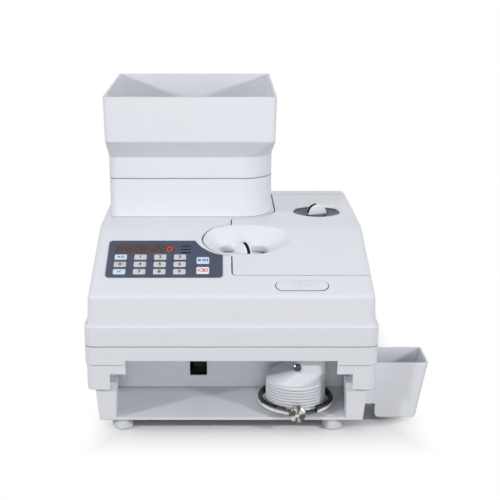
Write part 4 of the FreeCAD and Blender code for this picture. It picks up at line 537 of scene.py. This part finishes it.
def painted(name, colour):
    finish = Finish(name, coat_roughness=0.25)
    peel = finish.grain(1.4, 1.0)
    soft = finish.soft_edges(0.4)
    chips = finish.edge_mask(soft) * finish.band(finish.grain(2.0, 4.0), 0.5, 0.6)
    toned = finish.blend(finish.grain(25.0, 3.0), shade(colour, 0.85), shade(colour, 1.2))
    return finish.feed(
        base_color=finish.blend(chips, toned, tone(150, 150, 152)),
        roughness=0.34 + peel * 0.12,
        metallic=chips * 0.8,
        coat_weight=0.2 + peel * 0.2,
        normal=finish.bump(peel, 0.03, soft),
    )


def circuit_board(name, colour):
    finish = Finish(name, coat_roughness=0.2)
    flat = finish.node("ShaderNodeMapping", {"Vector": finish.spot(), "Scale": (1.0, 1.0, 0.0)})
    bricks = {"Vector": flat, "Scale": 130.0, "Mortar Size": 0.035, "Bias": -0.2}
    rows = {"offset": 0.37, "squash": 0.6, "squash_frequency": 3}
    tracks = finish.node("ShaderNodeTexBrick", bricks, "Fac", **rows)
    cloud = finish.grain(12.0, 3.0)
    mask = finish.blend(cloud, shade(colour, 0.85), shade(colour, 1.2))
    return finish.feed(
        base_color=finish.blend(tracks * 0.6, mask, shade(colour, 2.1)),
        roughness=0.36 + cloud * 0.1,
        coat_weight=0.3 + tracks * 0.2,
        normal=finish.bump(tracks, 0.03),
    )


belt_rubber = rubber("belt_rubber", tone(46, 46, 48))
motor_paint = painted("motor_paint", tone(58, 59, 63))
board_mask = circuit_board("board_mask", tone(30, 66, 48))
print("finishes in all:", len(bpy.data.materials))

# %% [markdown]
# ## Dressing the machine's solids
# Each solid has one slot for its finish. The list below is the whole machine, from shells to screws. The
# keys come last, because most are grey and only five have a colour of their own.

# %% Give every solid its finish
DRESS = {
    case_plastic: "base_tub lower_case bay_liner top_cover hatch_cover hatch_button reject_tray",
    hopper_plastic: "hopper_base hopper_funnel",
    spout_plastic: "spout",
    knob_plastic: "thickness_knob diameter_knob",
    foot_plastic: "feet",
    slate_film: "keypad_overlay",
    window_acrylic: "display_window",
    dish_plastic: "dial_dish",
    chute_plastic: "coin_chutes",
    ring_plate: "clamp_ring",
    screw_plate: "screws",
    knob_steel: "clamp_knob",
    shaft_steel: "hatch_pin disc_shaft",
    deck_sheet: "deck_plate retaining_ring dial_bracket track_bridge",
    track_sheet: "coin_track diameter_rail thickness_gate",
    bearing_alloy: "disc_bearing",
    supply_case: "power_supply",
    disc_plastic: "feed_disc",
    pulley_plastic: "disc_pulley motor_pulley belt_drive_pulley belt_idler_pulley diameter_pinion",
    belt_rubber: "drive_belt transport_belt",
    motor_paint: "feed_motor belt_motor",
    board_mask: "keypad_board main_board",
    socket_plastic: "coin_sensor power_inlet switch_rocker",
}
KEY_COLUMNS = range(1, 5)
KEY_ROWS = range(1, 4)
KEYS = [f"key_c{column}_r{row}" for column in KEY_COLUMNS for row in KEY_ROWS]
KEYS += ["key_upper_large", "key_lower_large"]
KEY_FINISH = dict.fromkeys(KEYS, cap_grey)
KEY_FINISH.update(dict.fromkeys(("key_c1_r1", "key_c1_r3", "key_upper_large"), cap_blue))
KEY_FINISH.update({"key_c1_r2": cap_pink, "key_lower_large": cap_white})

node_finish = {node: finish for finish, nodes in DRESS.items() for node in nodes.split()}
node_finish.update(KEY_FINISH)
for node, finish in node_finish.items():
    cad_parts[node].material_slots[0].material = finish.material
print("dressed", len(node_finish), "of", len(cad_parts), "solids")

# %% [markdown]
# ## Making a new piece
# New pieces are drawn in millimetres with bmesh operators, carried to their place by a matrix, and then
# ride on the body that they belong to. The helper also marks sharp edges, so that rounded faces shade
# smoothly and flats stay flat. Most small pieces are rounded plates, so those have a helper of their own.

# %% From a drawn shape to a riding piece
CREASE = math.radians(35.0)


def finish_piece(name, shape, place, finish, body, stands_for=()):
    bmesh.ops.remove_doubles(shape, verts=shape.verts, dist=1e-4)
    bmesh.ops.recalc_face_normals(shape, faces=shape.faces)
    bmesh.ops.transform(shape, matrix=place, verts=shape.verts)
    mesh = bpy.data.meshes.new(name)
    shape.to_mesh(mesh)
    shape.free()
    mesh.shade_smooth()
    mesh.set_sharp_from_angle(angle=CREASE)
    mesh.materials.append(finish.material)
    piece = new_object(name, mesh)
    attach(piece, body)
    if stands_for:
        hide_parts(*stands_for)


print("edges sharper than", round(math.degrees(CREASE)), "degrees stay sharp")

# %% Rounded plates
def round_off(shape, corners, offset, steps, affect):
    return bmesh.ops.bevel(
        shape,
        geom=corners,
        offset=offset,
        offset_type="OFFSET",
        segments=steps,
        profile=0.5,
        affect=affect,
        material=-1,
    )


def plate(shape, width, height, corner, low, high, soft=0.0, middle=(0.0, 0.0), steps=6):
    """A square is sized, its corners are rounded, it is pulled up and its top edge is softened."""
    square = bmesh.ops.create_grid(shape, x_segments=1, y_segments=1, size=0.5)["verts"]
    bmesh.ops.scale(shape, vec=(width, height, 1.0), verts=square)
    bmesh.ops.translate(shape, vec=(*middle, low), verts=square)
    rounded = round_off(shape, list(square), corner, steps, "VERTICES")
    faces = rounded["faces"] + list(rounded["verts"][0].link_faces)
    face = max(faces, key=lambda f: f.calc_area())
    pulled = bmesh.ops.extrude_face_region(shape, geom=[face], use_keep_orig=True)["geom"]
    top = next(item for item in pulled if isinstance(item, bmesh.types.BMFace))
    bmesh.ops.translate(shape, vec=(0.0, 0.0, high - low), verts=list(top.verts))
    if soft > 0.0:
        round_off(shape, list(top.edges), soft, 3, "EDGES")
    return shape


def stroke(shape, width, height, corner, thick, turn, spot):
    """A small plate, turned by some degrees and moved to its spot; gives its vertices back."""
    before = set(shape.verts)
    plate(shape, width, height, corner, 0.0, thick, steps=2)
    fresh = [v for v in shape.verts if v not in before]
    turned_by = Matrix.Rotation(math.radians(turn), 3, "Z")
    bmesh.ops.rotate(shape, cent=(0, 0, 0), matrix=turned_by, verts=fresh)
    bmesh.ops.translate(shape, vec=(*spot, 0.0), verts=fresh)
    return fresh


print("plates and strokes ready")

# %% [markdown]
# ## Key caps
# The solids of the keys are plain plates. Real caps have a soft top edge that catches the light, so each
# is replaced by a rounded plate with a bevelled rim, in the same place and of the same size, riding on
# its own key.

# %% Fourteen caps with soft edges
FIRST_KEY = (-129.4, 66.2)
COLUMN_PITCH = 23.13
ROW_PITCH = 12.2
SMALL_CAP = (14.4, 9.0)
LARGE_CAP = (14.8, 11.9)
CAP_CORNER = 1.6
CAP_FOOT = -0.1
CAP_TOP = 1.5
CAP_SOFT = 0.45
KEY_AT = {
    f"key_c{column}_r{row}": (
        FIRST_KEY[0] + COLUMN_PITCH * (column - 1),
        FIRST_KEY[1] - ROW_PITCH * (row - 1),
    )
    for column in KEY_COLUMNS
    for row in KEY_ROWS
}
KEY_AT["key_upper_large"] = (-33.0, 60.4)
KEY_AT["key_lower_large"] = (-33.0, 43.8)
for node in KEYS:
    size = LARGE_CAP if "large" in node else SMALL_CAP
    cap = plate(bmesh.new(), *size, CAP_CORNER, CAP_FOOT, CAP_TOP, CAP_SOFT)
    place = lay(*KEY_AT[node], 0.0)
    finish_piece(f"{node}_cap", cap, place, KEY_FINISH[node], node, (node,))

# %% [markdown]
# ## Marks on the keys
# The number keys carry plain figures. The others carry simple signs without words: plus and equals, a
# tick for accepting, start and pause on the upper large key, and a red wipe-out sign on the lower one.
# Figures come from Blender's own letter shapes, turned into a mesh before they are laid on the slope;
# signs are small strokes.

# %% Figures from letter shapes
FIGURE_HEIGHT = 7.0
FIGURE_SPREAD = 0.2
INK_THICK = 0.05


def mark_key(node, shape, finish):
    place = lay(*KEY_AT[node], CAP_TOP)
    finish_piece(f"{node}_mark", shape, place, finish, node)


def figure(text):
    letters = bpy.data.curves.new(f"figure_{text}", "FONT")
    letters.body = text
    letters.size = FIGURE_HEIGHT
    letters.align_x = "CENTER"
    letters.align_y = "CENTER"
    letters.extrude = INK_THICK / 2
    letters.offset = FIGURE_SPREAD
    letters.resolution_u = 4
    writer = bpy.data.objects.new(f"figure_{text}", letters)
    flat = bpy.data.meshes.new_from_object(writer)
    bpy.data.objects.remove(writer)
    shape = bmesh.new()
    shape.from_mesh(flat)
    bpy.data.meshes.remove(flat)
    return shape


number_keys = {f"key_c{index % 3 + 2}_r{index // 3 + 1}": str(index + 1) for index in range(9)}
number_keys["key_c1_r2"] = "0"
for node, text in number_keys.items():
    mark_key(node, figure(text), ink_dark)
print("figures on", len(number_keys), "keys")

# %% Signs from strokes
STROKE_ROUND = 0.24
PLUS = [
    (-2.2, 0.0, 3.6, 0.9, 0),
    (-2.2, 0.0, 0.9, 3.6, 0),
    (2.2, 1.2, 3.6, 0.9, 0),
    (2.2, -1.2, 3.6, 0.9, 0),
]
TICK = [(-1.2, -0.5, 0.9, 2.4, 42), (0.9, 0.3, 0.9, 4.4, -38)]
START = [
    (-3.6, 1.0, 3.6, 1.1, -30),
    (-3.6, -1.0, 3.6, 1.1, 30),
    (-5.0, 0.0, 1.1, 4.0, 0),
    (0.2, 0.0, 1.3, 4.6, 0),
    (2.4, 0.0, 1.3, 4.6, 0),
    (5.0, 0.0, 1.3, 4.6, 0),
]
WIPE = [
    (-4.6, 1.1, 3.2, 0.9, 40),
    (-4.6, -1.1, 3.2, 0.9, -40),
    (0.8, 2.2, 9.0, 0.9, 0),
    (0.8, -2.2, 9.0, 0.9, 0),
    (5.2, 0.0, 0.9, 4.6, 0),
    (1.2, 0.0, 4.0, 0.9, 45),
    (1.2, 0.0, 4.0, 0.9, -45),
]


def sign(strokes):
    """Strokes are (x, y, width, height, turn in degrees) on the key's face."""
    shape = bmesh.new()
    for x, y, width, height, turn in strokes:
        corner = min(width, height) * STROKE_ROUND
        stroke(shape, width, height, corner, INK_THICK, turn, (x, y))
    return shape


mark_key("key_c1_r1", sign(PLUS), ink_dark)
mark_key("key_c1_r3", sign(TICK), ink_dark)
mark_key("key_upper_large", sign(START), ink_blue)
mark_key("key_lower_large", sign(WIPE), ink_red)
print("strokes in the four signs:", [len(strokes) for strokes in (PLUS, TICK, START, WIPE)])

# %% [markdown]
# ## The display's figures
# The window shows a bright red nought at its right end and, faintly, the unlit figures before it. A
# seven-bar figure is seven slim plates with rounded ends, leaning a little. Three broken lines on the
# film, to the right of the window, stand for printed indicators. The window lies flush with the film, so
# one lift off the slope serves both.

# %% Seven-bar figures on the window's face
NOUGHT_AT = (-72.6, 80.5)
FACE_LIFT = 0.8
UNLIT_FIRST = -58.0
UNLIT_PITCH = 9.6
UNLIT_COUNT = 6
UNLIT_THICK = 0.02
LIT_THICK = 0.05
LEAN = Matrix(((1, 0.12, 0), (0, 1, 0), (0, 0, 1))).to_4x4()
LIT_SIZE = Matrix.Diagonal((0.9, 0.86, 1.0, 1.0))
BAR = (4.6, 1.3, 0.6)
BARS = {
    "top": (0.0, 5.2, 0),
    "middle": (0.0, 0.0, 0),
    "foot": (0.0, -5.2, 0),
    "left_high": (-2.8, 2.6, 90),
    "right_high": (2.8, 2.6, 90),
    "left_low": (-2.8, -2.6, 90),
    "right_low": (2.8, -2.6, 90),
}


def seven_bars(shape, middle, names, thick):
    for bar in names:
        x, y, turn = BARS[bar]
        fresh = stroke(shape, *BAR, thick, turn, (x, y))
        bmesh.ops.transform(shape, matrix=LEAN, verts=fresh)
        bmesh.ops.translate(shape, vec=(middle, 0.0, 0.0), verts=fresh)
    return shape


unlit = bmesh.new()
for place in range(UNLIT_COUNT):
    seven_bars(unlit, UNLIT_FIRST + UNLIT_PITCH * place, BARS, UNLIT_THICK)
face = lay(*NOUGHT_AT, FACE_LIFT)
finish_piece("unlit_figures", unlit, face, unlit_red, "case")
nought = seven_bars(bmesh.new(), 0.0, [bar for bar in BARS if bar != "middle"], LIT_THICK)
finish_piece("lit_nought", nought, face @ LIT_SIZE, lit_red, "case")
print("figures:", UNLIT_COUNT, "unlit and one lit")

# %% Indicator lines
LINES_AT = (-53.0, 80.5)
LINE_ROWS = (5.1, -1.0, -7.1)
LINE_DASHES = ((-4.6, 2.0, 2.2), (-0.8, 4.6, 2.0), (3.6, 3.0, 2.0))
DASH_CORNER = 0.4
lines = bmesh.new()
for y in LINE_ROWS:
    for x, width, height in LINE_DASHES:
        plate(lines, width, height, DASH_CORNER, 0.0, INK_THICK, middle=(x, y), steps=2)
finish_piece("indicator_lines", lines, lay(*LINES_AT, FACE_LIFT), ink_black, "case")
print("indicator lines:", len(LINE_ROWS))

# %% [markdown]
# ## Setting knobs
# Both knobs are a disc with a half-round grip across it and a black pointer along one half of the grip's
# crest. The grip is a full circle cut in two by a plane, pulled to its thickness and bevelled; the disc
# is a small turned profile. The thickness knob stands on a stem that carries a thin dust skirt, just
# under the hole in its dish, so that coin dust and the eye don't reach the works.

# %% Turned shapes, grips and pointers
GRIP_RADIUS = 12.5
GRIP_THICK = 8.0
GRIP_SOFT = 0.9
GRIP_STEPS = 96
GRIP_FOOT = 0.3
POINTER_SUNK = 0.2
POINTER_PROUD = 0.06
POINTER_START = 90.0


def turned(profile, steps):
    """Spins a profile of (radius, height) points once round."""
    shape = bmesh.new()
    points = [shape.verts.new((radius, 0.0, height)) for radius, height in profile]
    outline = points + [shape.edges.new(pair) for pair in zip(points, points[1:])]
    whole = {"axis": (0, 0, 1), "angle": math.tau, "steps": steps, "use_merge": True}
    bmesh.ops.spin(shape, geom=outline, cent=(0, 0, 0), **whole)
    return shape


def grip():
    """Half a disc that stands on its straight side, with a soft rim."""
    shape = bmesh.new()
    bmesh.ops.create_circle(shape, cap_ends=True, segments=GRIP_STEPS, radius=GRIP_RADIUS)
    whole = list(shape.verts) + list(shape.edges) + list(shape.faces)
    half = {"plane_co": (0, 0, 0), "plane_no": (0, -1, 0), "clear_outer": True}
    bmesh.ops.bisect_plane(shape, geom=whole, **half)
    bmesh.ops.translate(shape, vec=(0, 0, -GRIP_THICK / 2), verts=shape.verts)
    pulled = bmesh.ops.extrude_face_region(shape, geom=list(shape.faces), use_keep_orig=True)["geom"]
    far = [item for item in pulled if isinstance(item, bmesh.types.BMVert)]
    bmesh.ops.translate(shape, vec=(0, 0, GRIP_THICK), verts=far)
    flat = [e for e in shape.edges if abs(e.verts[0].co.z - e.verts[1].co.z) < 1e-4]
    rim = [e for e in flat if max(e.verts[0].co.y, e.verts[1].co.y) > GRIP_FOOT]
    round_off(shape, rim, GRIP_SOFT, 4, "EDGES")
    upright = Matrix.Rotation(math.pi / 2, 3, "X")
    bmesh.ops.rotate(shape, cent=(0, 0, 0), matrix=upright, verts=shape.verts)
    return shape


def pointer(wide, sweep):
    """A strip round the grip's crest: a slim outline spun about the grip's axis through sweep degrees."""
    shape = bmesh.new()
    low = GRIP_RADIUS - POINTER_SUNK
    high = GRIP_RADIUS + POINTER_PROUD
    corners = [(low, -wide), (high, -wide), (high, wide), (low, wide)]
    points = [shape.verts.new((radius, side / 2, 0.0)) for radius, side in corners]
    strip = shape.faces.new(points)
    turn = Matrix.Rotation(-math.radians(POINTER_START), 3, "Y")
    bmesh.ops.rotate(shape, cent=(0, 0, 0), matrix=turn, verts=points)
    sweep_by = {"axis": (0, -1, 0), "angle": math.radians(sweep), "steps": 24}
    bmesh.ops.spin(shape, geom=[strip], cent=(0, 0, 0), **sweep_by)
    return shape


print("grips are", 2 * GRIP_RADIUS, "mm wide and", GRIP_THICK, "mm thick")

# %% Two setting knobs
DISC_TOP = 3.0
DISC_PROFILE = [(0.0, 0.0), (12.4, 0.0), (13.0, 0.5), (13.0, 2.3), (12.3, DISC_TOP), (0.0, DISC_TOP)]
THICKNESS_AT = (15.0, 95.0)
THICKNESS_FLOOR = 189.2
THICKNESS_SPOT = (*THICKNESS_AT, THICKNESS_FLOOR)
DIAMETER_SPOT = (110.5, 191.0, 213.3)


def setting_knob(name, spot, angle, disc_finish, wide, sweep):
    """Wide is the pointer's width in millimetres, and sweep how far it reaches, in degrees."""
    body = f"{name}_dial"
    turn = Matrix.Rotation(math.radians(angle), 4, "Z")
    x, y, floor = spot
    on_floor = stand(x, y, floor, turn)
    on_disc = stand(x, y, floor + DISC_TOP, turn)
    disc = turned(DISC_PROFILE, steps=64)
    finish_piece(f"{name}_disc", disc, on_floor, disc_finish, body, (f"{name}_knob",))
    finish_piece(f"{name}_grip", grip(), on_disc, knob_plastic, body)
    finish_piece(f"{name}_pointer", pointer(wide, sweep), on_disc, pointer_black, body)


setting_knob("thickness", THICKNESS_SPOT, 120.0, knob_plastic, wide=4.2, sweep=84.0)
setting_knob("diameter", DIAMETER_SPOT, 22.0, dish_plastic, wide=5.6, sweep=86.0)

# %% The thickness knob's stem and skirt
STEM_FOOT = 170.5
STEM = 3.0
STEM_CHAMFER = 0.3
NECK_FOOT = 184.8
NECK = 8.0
SKIRT_LOW = 187.0
SKIRT_HIGH = 188.4
SKIRT = 25.0
SKIRT_SOFT = 0.4
stem_profile = [
    (0.0, STEM_FOOT),
    (STEM - STEM_CHAMFER, STEM_FOOT),
    (STEM, STEM_FOOT + STEM_CHAMFER),
    (STEM, NECK_FOOT),
    (NECK, NECK_FOOT),
    (NECK, SKIRT_LOW),
    (SKIRT - SKIRT_SOFT, SKIRT_LOW),
    (SKIRT, SKIRT_LOW + SKIRT_SOFT),
    (SKIRT, SKIRT_HIGH - SKIRT_SOFT),
    (SKIRT - SKIRT_SOFT, SKIRT_HIGH),
    (NECK, SKIRT_HIGH),
    (NECK, THICKNESS_FLOOR),
    (0.0, THICKNESS_FLOOR),
]
stem = turned(stem_profile, steps=48)
upright = stand(*THICKNESS_AT, 0.0)
finish_piece("thickness_stem", stem, upright, knob_plastic, "thickness_dial")
print("stem:", round(THICKNESS_FLOOR - STEM_FOOT, 1), "mm tall, skirt", 2 * SKIRT, "mm wide")

# %% [markdown]
# ## Grip ridges on the release button
# The button's middle is moulded with fine upright ridges, so that a finger doesn't slip. They are a row
# of slim plates with soft tops, a fraction of a millimetre proud, and they ride on the button.

# %% A row of ridges
BUTTON_AT = (80.0, 20.0)
BUTTON_LIFT = 1.0
RIDGES = 15
RIDGE_PITCH = 1.9
RIDGE_SIZE = (0.9, 8.0)
RIDGE_CORNER = 0.4
RIDGE_SUNK = -0.2
RIDGE_PROUD = 0.25
RIDGE_SOFT = 0.12
RIDGE_RAISE = 1.0
ridges = bmesh.new()
for place in range(RIDGES):
    middle = ((place - (RIDGES - 1) / 2) * RIDGE_PITCH, RIDGE_RAISE)
    plate(ridges, *RIDGE_SIZE, RIDGE_CORNER, RIDGE_SUNK, RIDGE_PROUD, RIDGE_SOFT, middle, 3)
on_button = lay(*BUTTON_AT, BUTTON_LIFT)
finish_piece("button_ridges", ridges, on_button, knob_plastic, "hatch_button")
print("ridges:", RIDGES, "over", RIDGES * RIDGE_PITCH, "mm")

# %% [markdown]
# ## The studio
# The photograph has a white ground and even light. Two small lamps stand at the sides, towards the front,
# and give the shadows their edges; a wide screen in front and another behind fill in softly. White comes
# from what the camera sees of the floor and the world, not from more light: the floor turns to plain
# white away from the machine and keeps a true shadow under it. Bright metal mirrors a dark room with pale
# screens around it.

# %% Floor
WHITE = (1.0, 1.0, 1.0, 1.0)
FLOOR_HALF = 4.0
WHITE_ASIDE = (0.14, 0.205)
WHITE_AHEAD = (0.135, 0.235)
WHITE_BEHIND = (0.12, 0.2)
PAPER_BOUNCE = (0.2, 0.2, 0.2, 1.0)
PAPER_DULL = (0.86, 0.86, 0.87, 1.0)
PAPER_PALE = (0.9, 0.9, 0.91, 1.0)


def studio_paper():
    """Paper that keeps the shadow near the machine and is plain white to the camera further out."""
    finish = Finish("studio_paper", roughness=0.9, specular_ior_level=0.0)
    spot = finish.spot()
    y = finish.along(spot, 1)
    aside = finish.band(finish.math("ABSOLUTE", finish.along(spot, 0)), *WHITE_ASIDE)
    ahead = finish.band(0.0 - y, *WHITE_AHEAD)
    behind = finish.band(y, *WHITE_BEHIND)
    away = finish.larger(finish.larger(aside, behind), ahead)
    seen = finish.ray("Camera")
    paper = finish.blend(finish.grain(3.0, 2.0), PAPER_DULL, PAPER_PALE)
    finish.feed(base_color=finish.blend(seen + finish.ray("Glossy"), PAPER_BOUNCE, paper))
    white = finish.node("ShaderNodeEmission", {"Color": WHITE, "Strength": 1.0})
    body = Wire(finish, finish.shader.outputs[0])
    surface = finish.tree.nodes["Material Output"].inputs["Surface"]
    finish.join(finish.either(seen * away, body, white), surface)
    return finish


sheet = bmesh.new()
bmesh.ops.create_grid(sheet, x_segments=2, y_segments=2, size=FLOOR_HALF)
floor_mesh = bpy.data.meshes.new("studio_floor")
sheet.to_mesh(floor_mesh)
sheet.free()
floor_mesh.materials.append(studio_paper().material)
floor = new_object("studio_floor", floor_mesh)
print("floor:", 2 * FLOOR_HALF, "m square")

# %% World
ROOM_DARK = 0.06
SKY_TINT = (0.97, 0.98, 1.0, 1.0)


def studio_world(horizon, zenith):
    """Soft light that grows towards the top; mirrors see bright screens at the sides, behind and above."""
    world = bpy.data.worlds.new("studio_world")
    world.use_nodes = True
    bpy.context.scene.world = world
    sky = Nodes(world.node_tree)

    def glow(strength, colour=SKY_TINT):
        return sky.node("ShaderNodeBackground", {"Color": colour, "Strength": strength})

    way = sky.node("ShaderNodeTexCoord", output="Generated")
    height = sky.along(way, 2)
    screens = sky.band(sky.math("ABSOLUTE", sky.along(way, 0)), 0.45, 0.6, ROOM_DARK, 1.0)
    backdrop = sky.band(sky.along(way, 1), 0.1, 0.4, ROOM_DARK, 1.0)
    ceiling = sky.band(height, 0.5, 0.75, 0.0, 0.7)
    room = sky.larger(sky.larger(screens, backdrop), ceiling)
    soft = glow(sky.band(height, 0.0, 0.9, horizon, zenith))
    lit = sky.either(sky.ray("Glossy"), soft, glow(room))
    seen = sky.larger(sky.ray("Camera"), sky.ray("Transmission"))
    sky.join(sky.either(seen, lit, glow(1.0, WHITE)), sky.tree.nodes["World Output"].inputs["Surface"])


studio_world(horizon=0.2, zenith=0.52)
print("world:", bpy.context.scene.world.name)

# %% Lamps
def studio_lamp(name, spot, aim, width, power, mirrored=True):
    lamp = bpy.data.lights.new(name, "AREA")
    lamp.shape = "DISK"
    lamp.size = width
    lamp.energy = power
    holder = new_object(name, lamp)
    holder.location = spot
    holder.visible_glossy = mirrored
    holder.rotation_euler = (Vector(aim) - Vector(spot)).to_track_quat("-Z", "Y").to_euler()


for side, name in ((-1, "left_lamp"), (1, "right_lamp")):
    studio_lamp(name, spot=(1.55 * side, -1.07, 0.88), aim=(0.0, 0.0, 0.2), width=0.14, power=14.2)
studio_lamp("front_screen", spot=(-0.04, -2.2, 0.3), aim=(-0.03, -0.1, 0.2), width=1.0, power=11.5)
studio_lamp(
    "rear_screen", spot=(0.0, 2.3, 0.75), aim=(0.0, 0.1, 0.2), width=1.2, power=15.0, mirrored=False
)
print("lamps:", ", ".join(lamp.name for lamp in bpy.data.lights))
